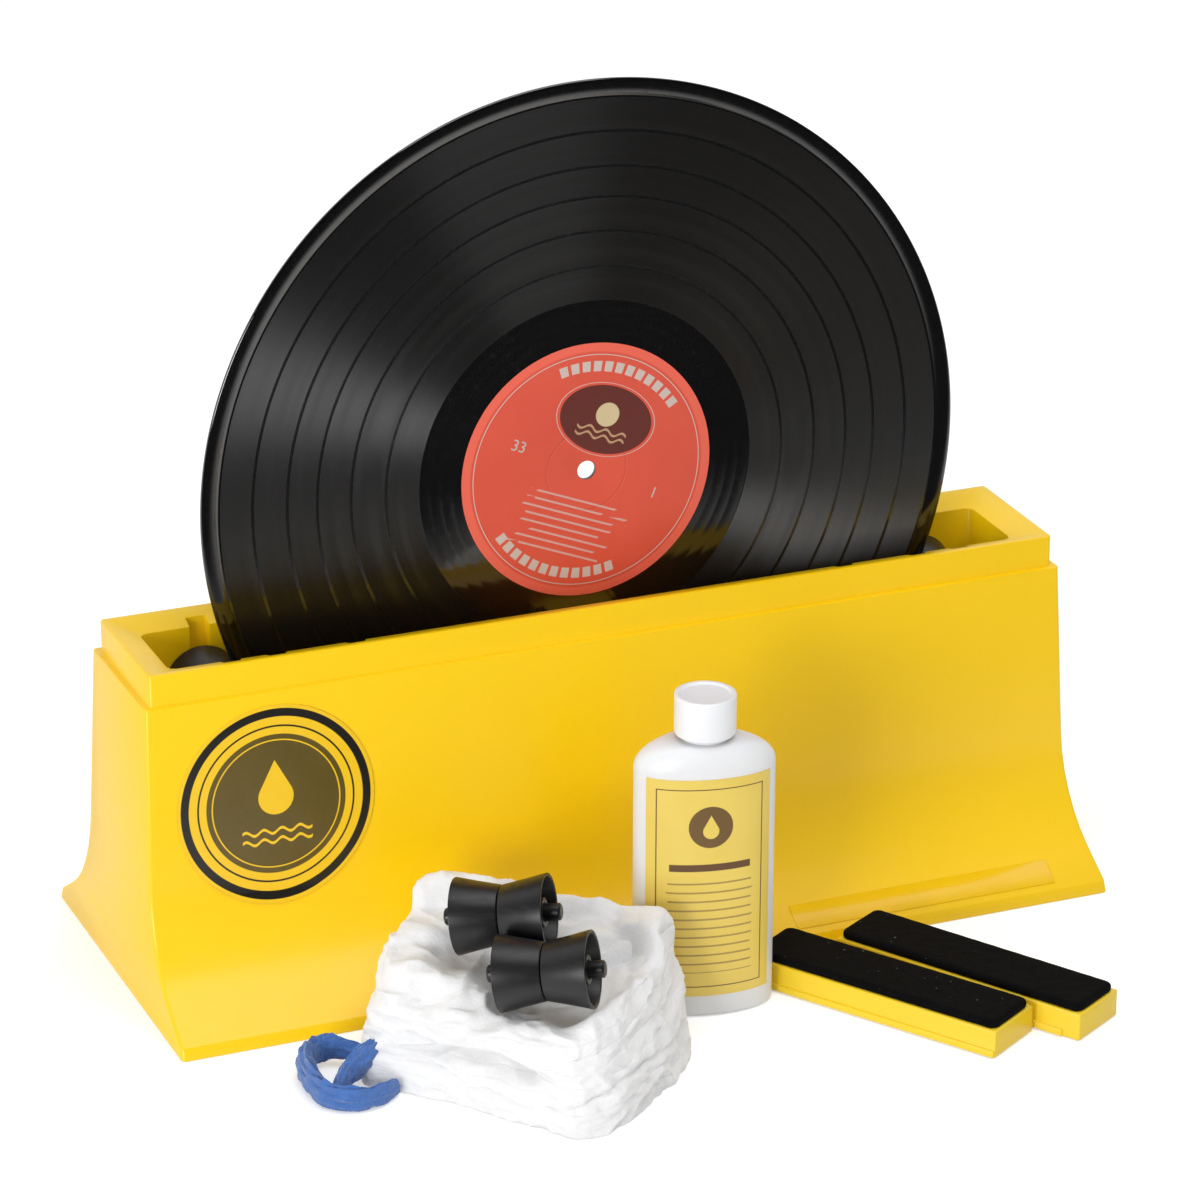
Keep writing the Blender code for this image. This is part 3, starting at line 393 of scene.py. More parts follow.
# Record: a pressed black vinyl disc, 301.6 mm across, with a raised edge, a smooth lead-in,
# six bands of fine groove with a bare ring between them, and a run-out round the label.


def turned(profile, steps=96, closed=True, aim=None):
    """Turn (radius, height) points round the height axis, then set it where aim puts it."""
    bm = bmesh.new()
    verts = [bm.verts.new((radius, 0, height)) for radius, height in profile]
    ends = verts[1:] + verts[:1] if closed else verts[1:]
    edges = [bm.edges.new(pair) for pair in zip(verts, ends)]
    bmesh.ops.spin(bm, geom=verts + edges, axis=(0, 0, 1), cent=(0, 0, 0),
                   angle=2 * math.pi, steps=steps, use_merge=True)
    bmesh.ops.remove_doubles(bm, verts=bm.verts, dist=1e-7)
    bmesh.ops.recalc_face_normals(bm, faces=bm.faces)
    if aim:
        bmesh.ops.transform(bm, matrix=aim, verts=bm.verts)
    return bm


def rounded(profile, radius, closed=True, steps=3):
    """Round the corners of a profile."""
    points = [Vector(point) for point in profile]
    made = [] if closed else [points[0]]
    span = range(len(points)) if closed else range(1, len(points) - 1)
    for i in span:
        corner = points[i]
        before, after = points[i - 1], points[(i + 1) % len(points)]
        reach = min(radius, (before - corner).length * 0.4, (after - corner).length * 0.4)
        start = corner + (before - corner).normalized() * reach
        end = corner + (after - corner).normalized() * reach
        for k in range(steps + 1):
            t = k / steps
            made.append(start * (1 - t) ** 2 + corner * 2 * t * (1 - t) + end * t ** 2)
    return [tuple(point) for point in (made if closed else made + [points[-1]])]


def polar_uv(bm, aim):
    """Radius as U and turn as V, so that the shader can follow the grooves."""
    layer = bm.loops.layers.uv.new("groove")
    back = aim.inverted()
    for face in bm.faces:
        spots = [back @ loop.vert.co for loop in face.loops]
        turns = [math.atan2(spot.y, spot.x) / (2 * math.pi) for spot in spots]
        wrap = max(turns) - min(turns) > 0.5
        for loop, spot, turn in zip(face.loops, spots, turns):
            loop[layer].uv = (math.hypot(spot.x, spot.y) * 6, turn + 1 if wrap and turn < 0 else turn)


low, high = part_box("record_disc")
record_centre = (low + high) / 2
record_radius = (high.x - low.x) / 2
edge_half = (high.y - low.y) / 2
groove_half = edge_half - 0.00015
facing = Matrix.Translation(record_centre) @ Matrix.Rotation(math.radians(90), 4, "X")
half = [(0.0036, groove_half), (0.0042, edge_half), (0.0495, groove_half + 0.00002)]
half += [(0.0525, groove_half), (0.0532, groove_half - 0.00003), (0.0539, groove_half)]
BARE_RINGS = (0.0795, 0.0931, 0.1062, 0.1178, 0.1311)
for ring in (0.0575, 0.0618, 0.0662, *BARE_RINGS, 0.1438):
    half += [(ring - 0.0007, groove_half), (ring - 0.0004, groove_half - 0.00002),
             (ring + 0.0004, groove_half - 0.00002), (ring + 0.0007, groove_half)]
half += [(record_radius - 0.0062, edge_half - 0.00003), (record_radius - 0.0015, edge_half),
         (record_radius - 0.0004, edge_half - 0.00008), (record_radius, edge_half - 0.0004)]
profile = half + [(radius, -height) for radius, height in reversed(half)]
bm = turned(profile, 288, aim=facing)
polar_uv(bm, facing)

vinyl, tree, shader = finish("black vinyl")
across, up = flat_place(tree, (record_centre.x, record_centre.z))
radius = length_of(tree, across, up)


def noise_by_radius(tree, radius, scale, detail):
    """Noise that changes along the radius alone, as the grooves do."""
    node = tree.nodes.new("ShaderNodeTexNoise")
    node.noise_dimensions = "1D"
    node.inputs["Scale"].default_value = 1.0
    node.inputs["Detail"].default_value = detail
    tree.links.new(calc(tree, "MULTIPLY", radius, scale), node.inputs["W"])
    return node.outputs["Fac"]


fine_rings = noise_by_radius(tree, radius, 2600.0, 3)
broad_rings = noise_by_radius(tree, radius, 170.0, 2)
grooved = within(tree, radius, 0.0665, 0.1435, 0.0002)
for ring in BARE_RINGS:
    gap = within(tree, radius, ring - 0.0006, ring + 0.0006, 0.0001)
    grooved = calc(tree, "MULTIPLY", grooved, calc(tree, "MULTIPLY_ADD", gap, -0.8, 1.0))
dust = calc(tree, "POWER", noise_at(tree, 420, 2), 9.0)
rough = calc(tree, "MULTIPLY_ADD", broad_rings, 0.44, 0.11)
rough = calc(tree, "MULTIPLY_ADD", fine_rings, 0.22, rough)
rough = calc(tree, "MULTIPLY_ADD", grooved, rough, 0.10)
put(tree, shader.inputs["Roughness"], calc(tree, "MULTIPLY_ADD", dust, 0.8, rough))
put(tree, shader.inputs["Base Color"],
    mix(tree, calc(tree, "MULTIPLY", dust, 0.5), (0.0022, 0.0022, 0.0026), (0.06, 0.06, 0.06)))
put(tree, shader.inputs["Normal"],
    bump(tree, fine_rings, calc(tree, "MULTIPLY_ADD", grooved, 0.000016, 0.000002)))
shader.inputs["Anisotropic"].default_value = 1.0
shader.inputs["IOR"].default_value = 1.55
shader.inputs["Specular IOR Level"].default_value = 1.0
along_grooves = tree.nodes.new("ShaderNodeTangent")
along_grooves.direction_type = "UV_MAP"
along_grooves.uv_map = "groove"
tree.links.new(along_grooves.outputs[0], shader.inputs["Tangent"])
piece("record_vinyl", bm, vinyl, "record", ["record_disc"], 60)

# Record labels: discs of red paper pressed into both faces, turned a little as the record
# stands. The print is a maroon oval with a sun over waves, two arcs of dashes and a block of
# ruled lines, with raised numbers.
LABEL_TURN = 22
label_print, tree, shader = finish("red record label")
across, up = flat_place(tree, (record_centre.x, record_centre.z), LABEL_TURN)
radius = length_of(tree, across, up)
fibre = noise_at(tree, 900, 3)
red = mix(tree, noise_at(tree, 50, 3), (0.66, 0.070, 0.035), (0.72, 0.095, 0.052))
colour = mix(tree, smooth(tree, radius, 0.0462, 0.0468), red, (0.80, 0.125, 0.075))
colour = mix(tree, within(tree, radius, 0.0452, 0.0455, 0.0001), colour, (0.55, 0.50, 0.46))
pale, maroon = (0.58, 0.47, 0.42), (0.13, 0.020, 0.014)
oval_up = calc(tree, "MULTIPLY", calc(tree, "SUBTRACT", up, 0.0205), 1.45)
spread = length_of(tree, across, oval_up)
colour = mix(tree, smooth(tree, spread, 0.0192, 0.0190), colour, maroon)
colour = mix(tree, within(tree, spread, 0.0203, 0.0206, 0.0001), colour, pale)
sun = length_of(tree, across, calc(tree, "SUBTRACT", up, 0.0225))
colour = mix(tree, smooth(tree, sun, 0.0048, 0.0046), colour, (0.62, 0.50, 0.28))
for level in (0.0135, 0.0160):
    wave = wave_mask(tree, across, up, level, 0.00045, 0.0105, 0.0001)
    colour = mix(tree, wave, colour, (0.50, 0.30, 0.16))
turn = calc(tree, "ARCTAN2", across, calc(tree, "ABSOLUTE", up))
dashes = smooth(tree, calc(tree, "PINGPONG", turn, 0.055), 0.014, 0.018)
arcs = calc(tree, "MULTIPLY", within(tree, radius, 0.0388, 0.0428, 0.0001),
            within(tree, turn, -0.66, 0.66, 0.002))
colour = mix(tree, calc(tree, "MULTIPLY", arcs, dashes), colour, pale)
rows = calc(tree, "PINGPONG", calc(tree, "ADD", up, 0.0120), 0.0015)
width = calc(tree, "MULTIPLY_ADD", noise_at(tree, 330, 0, (0, 0, 1)), 0.026, 0.005)
past_end = calc(tree, "SUBTRACT", calc(tree, "ABSOLUTE", across), width)
block = calc(tree, "MULTIPLY", smooth(tree, past_end, 0.0001, -0.0001),
             within(tree, up, -0.0335, -0.0115, 0.0001))
lines = calc(tree, "MULTIPLY", smooth(tree, rows, 0.00045, 0.0003), block)
colour = mix(tree, calc(tree, "MULTIPLY", lines, 0.7), colour, pale)
put(tree, shader.inputs["Base Color"], colour)
put(tree, shader.inputs["Roughness"], calc(tree, "MULTIPLY_ADD", fibre, 0.2, 0.38))
pressed = calc(tree, "MULTIPLY", within(tree, radius, 0.0157, 0.0163, 0.0002), -6.0)
put(tree, shader.inputs["Normal"],
    bump(tree, calc(tree, "ADD", calc(tree, "MULTIPLY", fibre, 0.4), pressed), 0.00002))
shader.inputs["Coat Weight"].default_value = 0.12
shader.inputs["Coat Roughness"].default_value = 0.35

number_ink, tree, shader = finish("silver-grey label ink")
put(tree, shader.inputs["Base Color"],
    mix(tree, noise_at(tree, 1500, 2), (0.40, 0.37, 0.35), (0.60, 0.55, 0.51)))
put(tree, shader.inputs["Roughness"], calc(tree, "MULTIPLY_ADD", noise_at(tree, 900, 2), 0.2, 0.32))


def number_piece(name, words, body, ink):
    """Plain numbers as thin raised ink: (text, height, across, up, aim) for each."""
    bm = bmesh.new()
    for text, height, across, up, aim in words:
        curve = bpy.data.curves.new(name, "FONT")
        curve.body = text
        curve.size = height
        curve.align_x = "CENTER"
        curve.align_y = "CENTER"
        curve.extrude = 0.00003
        curve.resolution_u = 4
        holder = bpy.data.objects.new(name, curve)
        scene.collection.objects.link(holder)
        bpy.context.view_layer.update()
        mesh = holder.to_mesh().copy()
        mesh.transform(aim @ Matrix.Translation((across, up, 0)))
        bm.from_mesh(mesh)
        bpy.data.objects.remove(holder)
        bpy.data.meshes.remove(mesh)
    return piece(name, bm, ink, body, [])


for side, node in ((1, "record_label_front"), (-1, "record_label_back")):
    low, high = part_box(node)
    inner, outer = sorted((abs(low.y - record_centre.y), abs(high.y - record_centre.y)))
    ring = rounded([(0.0037, inner), (0.0499, inner), (0.0499, outer), (0.0037, outer)], 0.00006)
    stand = facing if side == 1 else facing @ Matrix.Rotation(math.pi, 4, "Y")
    piece(node.replace("record_", "") + "_paper", turned(ring, 128, aim=stand), label_print,
          "record", [node])
    upright = Matrix.Rotation(math.radians(-LABEL_TURN * side), 4, "Z")
    on_top = stand @ upright @ Matrix.Translation((0, 0, outer))
    number_piece(node.replace("record_", "") + "_numbers",
                 [("33", 0.0062, -0.0300, 0.0020, on_top), ("1", 0.0062, 0.0300, -0.0020, on_top)],
                 "record", number_ink)

# Rollers: four hourglass rollers of black moulded rubber, two in the trough and two loose on
# the cloth. Each is an axle with two hollow cones pushed on from its ends.
rubber = plastic("black moulded rubber", (0.008, 0.008, 0.009), 0.36, 1100, 0.00001)


def axle_frame(node):
    """Where an axle stands: its middle, with the height axis along it."""
    points = np.array([v.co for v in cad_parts[node].data.vertices], float)
    points = np.unique(points.round(6), axis=0)
    middle = (points.min(0) + points.max(0)) / 2
    along = np.linalg.svd(points - points.mean(0), full_matrices=False)[2][0]
    turn = Vector((0, 0, 1)).rotation_difference(Vector(along if along[1] > 0 else -along))
    return Matrix.Translation(Vector(middle)) @ turn.to_matrix().to_4x4()


cone_profile = [(0.0035, 0.00015), (0.0106, 0.00015), (0.0123, 0.0085), (0.0142, 0.0170),
                (0.0129, 0.0170), (0.0100, 0.0032), (0.0054, 0.0032), (0.0054, 0.0155),
                (0.0035, 0.0155)]
axle_half = [(0, 0.0215), (0.0025, 0.0215), (0.0032, 0.0209), (0.0032, 0.0180)]
axle_profile = axle_half + [(radius, -height) for radius, height in reversed(axle_half)]
roller_axes = []
for name in ("left_roller", "right_roller", "spare_roller_a", "spare_roller_b"):
    stand = axle_frame(name + "_axle")
    if name.startswith("spare"):
        roller_axes.append((stand.translation.copy(), stand.to_3x3() @ Vector((0, 0, 1))))
    piece(name + "_shaft", turned(rounded(axle_profile, 0.0003, False), 48, False, stand), rubber,
          name, [name + "_axle"])
    for end in ("front", "back"):
        node = f"{name}_{end}_cone"
        low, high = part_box(node)
        away = (low + high) / 2 - stand.translation
        flip = away.dot(stand.to_3x3() @ Vector((0, 0, 1))) < 0
        place = stand @ Matrix.Rotation(math.pi, 4, "X") if flip else stand
        bm = turned(rounded(cone_profile, 0.0004), 96, aim=place)
        piece(f"{name}_{end}_moulding", bm, rubber, name, [node])

# Brushes: four yellow moulded bars with a guide strip along each side, two in the trough's
# channels and two loose on the table. Each carries a glued pad of deep black velvet.
brush_yellow = plastic("yellow brush plastic", (0.86, 0.60, 0.02), 0.36, 800, 0.000014)
velvet, tree, shader = finish("black velvet")
nap = noise_at(tree, 240, 5, rough=0.65)
lint = smooth(tree, calc(tree, "POWER", noise_at(tree, 520, 1), 16.0), 0.016, 0.026)
put(tree, shader.inputs["Base Color"],
    mix(tree, lint, tint(tree, (0.004, 0.004, 0.0045), calc(tree, "MULTIPLY_ADD", nap, 1.2, 0.4)),
        (0.16, 0.16, 0.16)))
shader.inputs["Roughness"].default_value = 0.95
shader.inputs["Specular IOR Level"].default_value = 0.05
shader.inputs["Sheen Weight"].default_value = 0.06
shader.inputs["Sheen Roughness"].default_value = 0.4
shader.inputs["Sheen Tint"].default_value = (0.35, 0.35, 0.38, 1)
pile = calc(tree, "ADD", nap, calc(tree, "MULTIPLY", noise_at(tree, 2600, 2), 0.5))
put(tree, shader.inputs["Normal"], bump(tree, pile, 0.0004))


def bar_frame(bar, pad):
    """Where a bar lies: length, width and thickness as X, Y and Z from its back's middle."""
    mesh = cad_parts[bar].data
    spread = np.zeros((3, 3))
    for face in mesh.polygons:
        spread += face.area * np.outer(face.normal, face.normal)
    length, width, thick = (Vector(axis) for axis in np.linalg.eigh(spread)[1].T)
    if thick.dot(sum(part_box(pad), Vector()) - sum(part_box(bar), Vector())) < 0:
        thick = -thick
    points = [v.co for v in mesh.vertices]
    middle = Vector()
    for axis in (length, width):
        reach = [point.dot(axis) for point in points]
        middle += axis * (min(reach) + max(reach)) / 2
    middle += thick * min(point.dot(thick) for point in points)
    strips = [(p - middle).dot(length) for p in points if abs((p - middle).dot(width)) > 0.0140]
    if sum(strips) > 0:
        length = -length
    width = thick.cross(length)
    return Matrix.Translation(middle) @ Matrix((length, width, thick)).transposed().to_4x4()


def rounded_ring(half_x, half_y, radius, z, count):
    """Evenly spaced points round a rounded rectangle."""
    corners = []
    for quarter, (sx, sy) in enumerate(((1, 1), (-1, 1), (-1, -1), (1, -1))):
        for k in range(9):
            angle = (quarter + k / 8) * math.pi / 2
            corners.append((sx * (half_x - radius) + radius * math.cos(angle),
                            sy * (half_y - radius) + radius * math.sin(angle)))
    ring = np.array(corners + corners[:1])
    run = np.r_[0, np.cumsum(np.linalg.norm(np.diff(ring, axis=0), axis=1))]
    at = np.linspace(0, run[-1], count, endpoint=False)
    return np.c_[np.interp(at, run, ring[:, 0]), np.interp(at, run, ring[:, 1]), np.full(count, z)]


def skinned(rings, bm=None):
    """Skin closed rings of equal count in order, and cap both ends."""
    bm = bm or bmesh.new()
    rows = [[bm.verts.new(point) for point in ring] for ring in rings]
    count = len(rows[0])
    for low, high in zip(rows, rows[1:]):
        for i in range(count):
            j = (i + 1) % count
            bm.faces.new((low[i], low[j], high[j], high[i]))
    bm.faces.new(rows[0][::-1])
    bm.faces.new(rows[-1])
    return bm


def pad_rings():
    """A velvet pad: upright sides, a rounded shoulder and a top with a little swell."""
    half_x, half_y, base, top = 0.05225, 0.01225, 0.0109, 0.01388
    rings = [rounded_ring(half_x - 0.0002, half_y - 0.0002, 0.003, base, 240),
             rounded_ring(half_x, half_y, 0.0031, base + 0.0006, 240)]
    for k in range(8):
        angle = math.pi / 2 * k / 7
        inset = 0.0016 * (1 - math.cos(angle))
        rings.append(rounded_ring(half_x - inset, half_y - inset, 0.0031 - inset * 0.8,
                                  top - 0.0016 + 0.0015 * math.sin(angle), 240))
    for k in range(1, 12):
        inset = 0.0016 + (half_y - 0.0021) * k / 11
        rings.append(rounded_ring(half_x - inset, half_y - inset, 0.0004, top - 0.00008, 240))
    return rings


for name in ("front_brush", "back_brush", "spare_brush_a", "spare_brush_b"):
    bm = cad_copy(name + "_bar")
    soften(bm, 0.00025, 40)
    piece(name + "_moulding", bm, brush_yellow, name, [name + "_bar"])
    stand = bar_frame(name + "_bar", name + "_pad")
    rings = pad_rings()
    for ring in rings[2:]:
        for point in ring:
            spot = Vector(point) * 260 + Vector((len(name) * 7.0, 0, 0))
            point[2] += 0.00007 * noise.noise(spot)
            point[:2] *= 1 + 0.0012 * noise.noise(spot * 2.3)
    bm = skinned(rings)
    bmesh.ops.transform(bm, matrix=stand, verts=bm.verts)
    pad = piece(name + "_velvet", bm, velvet, name, [name + "_pad"], 80)

# Bottle: a blown white polythene bottle, oval in plan, with a soft shoulder and a screw neck.
# It holds the washing fluid and stands turned a little from square.
BOTTLE_AXIS = Vector((0.0056, -0.04603, 0))
BOTTLE_TURN = math.radians(-12)
BOTTLE_HALF_WIDTH, BOTTLE_HALF_DEPTH = 0.0262, 0.0130
bottle_place = Matrix.Translation(BOTTLE_AXIS) @ Matrix.Rotation(BOTTLE_TURN, 4, "Z")
white_plastic = plastic("white bottle plastic", (0.78, 0.785, 0.80), 0.32, 500, 0.00002, 0.2)


def oval(half_x, half_y, z, count=144):
    """Points round an ellipse at a height."""
    turns = np.linspace(0, 2 * math.pi, count, endpoint=False)
    return np.c_[half_x * np.cos(turns), half_y * np.sin(turns), np.full(count, z)]


def bottle_rings(inset, top):
    """Outer or inner sections of the bottle, from its foot to its mouth."""
    half_x, half_y = BOTTLE_HALF_WIDTH - inset, BOTTLE_HALF_DEPTH - inset
    neck = 0.0086 - inset * 1.7
    rings = []
    for k in range(7):
        angle = math.pi / 2 * k / 6
        cut = 0.0016 * (1 - math.sin(angle))
        rings.append(oval(half_x - cut, half_y - cut, inset + 0.0016 * (1 - math.cos(angle))))
    rings += [oval(half_x, half_y, z) for z in (0.03, 0.06, 0.09)]
    for k in range(15):
        angle = math.pi / 2 * k / 14
        width, depth = ((half - neck) * math.cos(angle) for half in (half_x, half_y))
        rings.append(oval(neck + width, neck + depth, 0.0965 - inset + 0.0105 * math.sin(angle)))
    return rings + [oval(neck, neck, top)]


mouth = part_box("bottle")[1].z
outside = bottle_rings(0, mouth - 0.0003) + [oval(0.0083, 0.0083, mouth)]
inside = bottle_rings(0.0012, mouth - 0.0003)
bm = skinned(outside + [oval(0.0068, 0.0068, mouth)] + inside[::-1])
ridge = []
for k in range(121):
    turn = 1.25 * k / 120
    ends = min(1, 8 * min(k, 120 - k) / 120)
    crest = 0.0083 + 0.0012 * ends
    angle, lift = 2 * math.pi * turn, 0.1118 + 0.003 * turn
    ridge.append([(r * math.cos(angle), r * math.sin(angle), lift + z) for r, z in
                  ((0.0083, -0.0005), (crest, -0.00025), (crest, 0.00025), (0.0083, 0.0005))])
skinned(ridge, bm)
bmesh.ops.recalc_face_normals(bm, faces=bm.faces)
bmesh.ops.transform(bm, matrix=bottle_place, verts=bm.verts)
piece("bottle_shell", bm, white_plastic, "bottle_body", ["bottle"], 45)

# Bottle label: a yellow paper label wrapped round the front of the bottle, with a thin brown
# frame line, a drop in a dark roundel and blank ruled lines.
bottle_print, tree, shader = finish("yellow bottle label")
place = tree.nodes.new("ShaderNodeTexCoord")
turned_back = tree.nodes.new("ShaderNodeMapping")
turned_back.vector_type = "TEXTURE"
turned_back.inputs["Location"].default_value = bottle_place.translation
turned_back.inputs["Rotation"].default_value = (0, 0, BOTTLE_TURN)
tree.links.new(place.outputs["Object"], turned_back.inputs["Vector"])
parts = tree.nodes.new("ShaderNodeSeparateXYZ")
tree.links.new(turned_back.outputs[0], parts.inputs[0])
across, height = parts.outputs["X"], parts.outputs["Z"]
brown = (0.13, 0.055, 0.015)
edge = 0.00012
colour = mix(tree, noise_at(tree, 60, 3), (0.78, 0.56, 0.09), (0.83, 0.63, 0.13))
middle = 0.0519
side = calc(tree, "ABSOLUTE", across)
level = calc(tree, "ABSOLUTE", calc(tree, "SUBTRACT", height, middle))
out_side = calc(tree, "SUBTRACT", side, 0.0195)
out_level = calc(tree, "SUBTRACT", level, 0.0395)
frame_line = within(tree, calc(tree, "MAXIMUM", out_side, out_level), -0.0002, 0.0002, edge)
colour = mix(tree, frame_line, colour, brown)
up = calc(tree, "SUBTRACT", height, 0.0765)
roundel = smooth(tree, length_of(tree, across, up), 0.0082 + edge, 0.0082 - edge)
colour = mix(tree, roundel, colour, (0.16, 0.085, 0.02))
colour = mix(tree, drop_mask(tree, across, calc(tree, "ADD", up, 0.0016), 0.0030, edge), colour,
             (0.80, 0.60, 0.11))
bar = calc(tree, "MULTIPLY", within(tree, height, 0.0590, 0.0618, edge),
           within(tree, across, -0.0150, 0.0150, edge))
colour = mix(tree, bar, colour, brown)
rows = calc(tree, "PINGPONG", calc(tree, "SUBTRACT", height, 0.0180), 0.0018)
ragged = calc(tree, "MULTIPLY_ADD", noise_at(tree, 280, 0, (0, 0, 1)), -0.008, 0.0195)
block = calc(tree, "MULTIPLY", within(tree, height, 0.0180, 0.0545, edge),
             smooth(tree, calc(tree, "SUBTRACT", side, ragged), 0.0001, -0.0001))
lines = calc(tree, "MULTIPLY", smooth(tree, rows, 0.00042, 0.0003), block)
colour = mix(tree, calc(tree, "MULTIPLY", lines, 0.75), colour, (0.30, 0.17, 0.05))
put(tree, shader.inputs["Base Color"], colour)
put(tree, shader.inputs["Roughness"], calc(tree, "MULTIPLY_ADD", noise_at(tree, 400, 3), 0.2, 0.35))
put(tree, shader.inputs["Normal"], bump(tree, noise_at(tree, 90, 3), 0.00003))
shader.inputs["Coat Weight"].default_value = 0.2
shader.inputs["Coat Roughness"].default_value = 0.3
bm = bmesh.new()
rows = []
for k in range(5):
    z = 0.0086 + (0.0953 - 0.0086) * k / 4
    line = []
    for i in range(97):
        x = -0.0227 + 0.0454 * i / 96
        y = -BOTTLE_HALF_DEPTH * math.sqrt(1 - (abs(x) / BOTTLE_HALF_WIDTH) ** 2)
        out = Vector((x / BOTTLE_HALF_WIDTH ** 2, y / BOTTLE_HALF_DEPTH ** 2, 0)).normalized()
        line.append([Vector((x, y, z)) + out * proud for proud in (0.0001, 0.00025)])
    rows.append(line)
for shell in (0, 1):
    grid = [[bm.verts.new(bottle_place @ point[shell]) for point in line] for line in rows]
    for lower, upper in zip(grid, grid[1:]):
        for i in range(96):
            bm.faces.new((lower[i], lower[i + 1], upper[i + 1], upper[i]))
bmesh.ops.bridge_loops(bm, edges=[border for border in bm.edges if border.is_boundary])
bmesh.ops.recalc_face_normals(bm, faces=bm.faces)
piece("bottle_label_paper", bm, bottle_print, "bottle_body", ["bottle_label"], 50)

# Cap: a white screw cap, straight-sided, with a raised rim round a slightly sunk top. A disc
# of pale foam lies inside its top to seal the mouth.
cap_plastic = plastic("white cap plastic", (0.84, 0.85, 0.87), 0.36, 700, 0.00001, 0.15)
cap_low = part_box("bottle_cap")[0].z
cap_outline = [(0, 0.0145), (0.0090, 0.0145), (0.0096, 0.0152), (0.0113, 0.0152), (0.0113, 0.0006),
               (0.0111, 0), (0.0102, 0), (0.0102, 0.0136), (0, 0.0136)]
stand = Matrix.Translation((BOTTLE_AXIS.x, BOTTLE_AXIS.y, cap_low))
bm = turned(rounded(cap_outline, 0.0006, False, 4), 96, False, stand)
piece("screw_cap", bm, cap_plastic, "cap", ["bottle_cap"], 50)
foam, tree, shader = finish("liner foam")
cells = tree.nodes.new("ShaderNodeTexVoronoi")
spot = tree.nodes.new("ShaderNodeTexCoord")
tree.links.new(spot.outputs["Object"], cells.inputs["Vector"])
cells.inputs["Scale"].default_value = 2500
put(tree, shader.inputs["Base Color"],
    mix(tree, cells.outputs["Distance"], (0.84, 0.84, 0.80), (0.62, 0.62, 0.58)))
put(tree, shader.inputs["Normal"], bump(tree, cells.outputs["Distance"], 0.0001))
shader.inputs["Roughness"].default_value = 0.85
piece("liner_disc", cad_copy("cap_liner"), foam, "liner", ["cap_liner"])

# Drying cloth: a soft crumpled white cotton cloth, folded into a stack of eight layers that
# leans on the skirt. They show as two or three thick folds along its front, where the upper
# one arches over the lower, and its right side stands up as a ridge round the loose rollers.
CLOTH_MIDDLE = Vector((-0.075, -0.06713))
CLOTH_SPAN = (0.135, 0.120)
FOOT = ((-0.02, -0.50), (0.11, -0.49), (0.33, -0.30), (0.48, -0.05), (0.44, 0.07), (0.27, 0.22),
        (0.10, 0.34), (-0.11, 0.36), (-0.28, 0.28), (-0.43, 0.09), (-0.33, -0.07),
        (-0.21, -0.21), (-0.11, -0.37))
TOP = ((0.02, -0.375), (0.15, -0.325), (0.30, -0.18), (0.42, -0.03), (0.43, 0.06), (0.26, 0.22),
       (0.10, 0.39), (-0.09, 0.50), (-0.24, 0.36), (-0.37, 0.13), (-0.29, -0.02), (-0.18, -0.16),
       (-0.07, -0.29))


# Places on the top as shares of the cloth's span, each with its height in millimetres.
TOP_HEIGHTS = ((0.02, -0.375, 30), (0.15, -0.325, 35), (0.30, -0.18, 43), (0.42, -0.03, 51),
               (0.43, 0.06, 51), (0.26, 0.22, 52), (0.10, 0.39, 53), (-0.09, 0.50, 54),
               (-0.24, 0.36, 45), (-0.37, 0.13, 33), (-0.29, -0.02, 29), (-0.18, -0.16, 28),
               (-0.07, -0.29, 28), (-0.258, 0.173, 41), (-0.177, 0.069, 38), (-0.136, -0.059, 34),
               (-0.091, -0.173, 31), (-0.062, -0.268, 32), (0.007, -0.342, 33), (0.087, -0.354, 34),
               (0.24, -0.27, 39), (0.068, -0.201, 28), (0.0, -0.10, 27), (-0.03, 0.02, 30),
               (-0.10, 0.15, 35), (0.214, -0.155, 31), (0.25, -0.086, 35), (0.10, 0.05, 36),
               (0.20, 0.10, 44), (0.0, 0.25, 45), (-0.12, 0.30, 46))


def cloth_height(x, y):
    """Height of the soft top, for arrays of places: a blend of the heights above."""
    total, weight = 0.0, 0.0
    for across, along, height in TOP_HEIGHTS:
        away = (((x - CLOTH_MIDDLE.x) / CLOTH_SPAN[0] - across) ** 2
                + ((y - CLOTH_MIDDLE.y) / CLOTH_SPAN[1] - along) ** 2)
        near = np.exp(-away / 0.062 ** 2) + 1e-7 / (away + 0.01)
        total, weight = total + near * height * 0.001, weight + near
    return total / weight


def between(a, b, c, d, t):
    """Smooth places from b to c, at shares t of the way, with a before and d after them."""
    return 0.5 * (2 * b + (c - a) * t + (2 * a - 5 * b + 4 * c - d) * t ** 2
                  + (3 * b - a - 3 * c + d) * t ** 3)


def closed_curve(shares, count):
    """A smooth closed curve through a ring of corners, as places in metres."""
    ring = np.array(shares) * CLOTH_SPAN + CLOTH_MIDDLE
    total = len(ring)
    at = np.arange(count) * total / count
    start = at.astype(int)
    return between(*(ring[(start + j) % total] for j in (-1, 0, 1, 2)), (at - start)[:, None])


def skirt_limit(z):
    """How far back the cloth may reach at each height: the front face of the skirt."""
    heights = (0, 0.0044, 0.0129, 0.0185, 0.0254, 0.0334, 0.0425, 0.0520, 0.1198)
    depths = (-0.02093, -0.01913, -0.00553, 0.0015, 0.0085, 0.0137, 0.0166, 0.01787, 0.0223)
    return np.interp(z, heights, depths)


COUNT = 400
foot_ring, top_ring = closed_curve(FOOT, COUNT), closed_curve(TOP, COUNT)
round_share = np.arange(COUNT) / COUNT


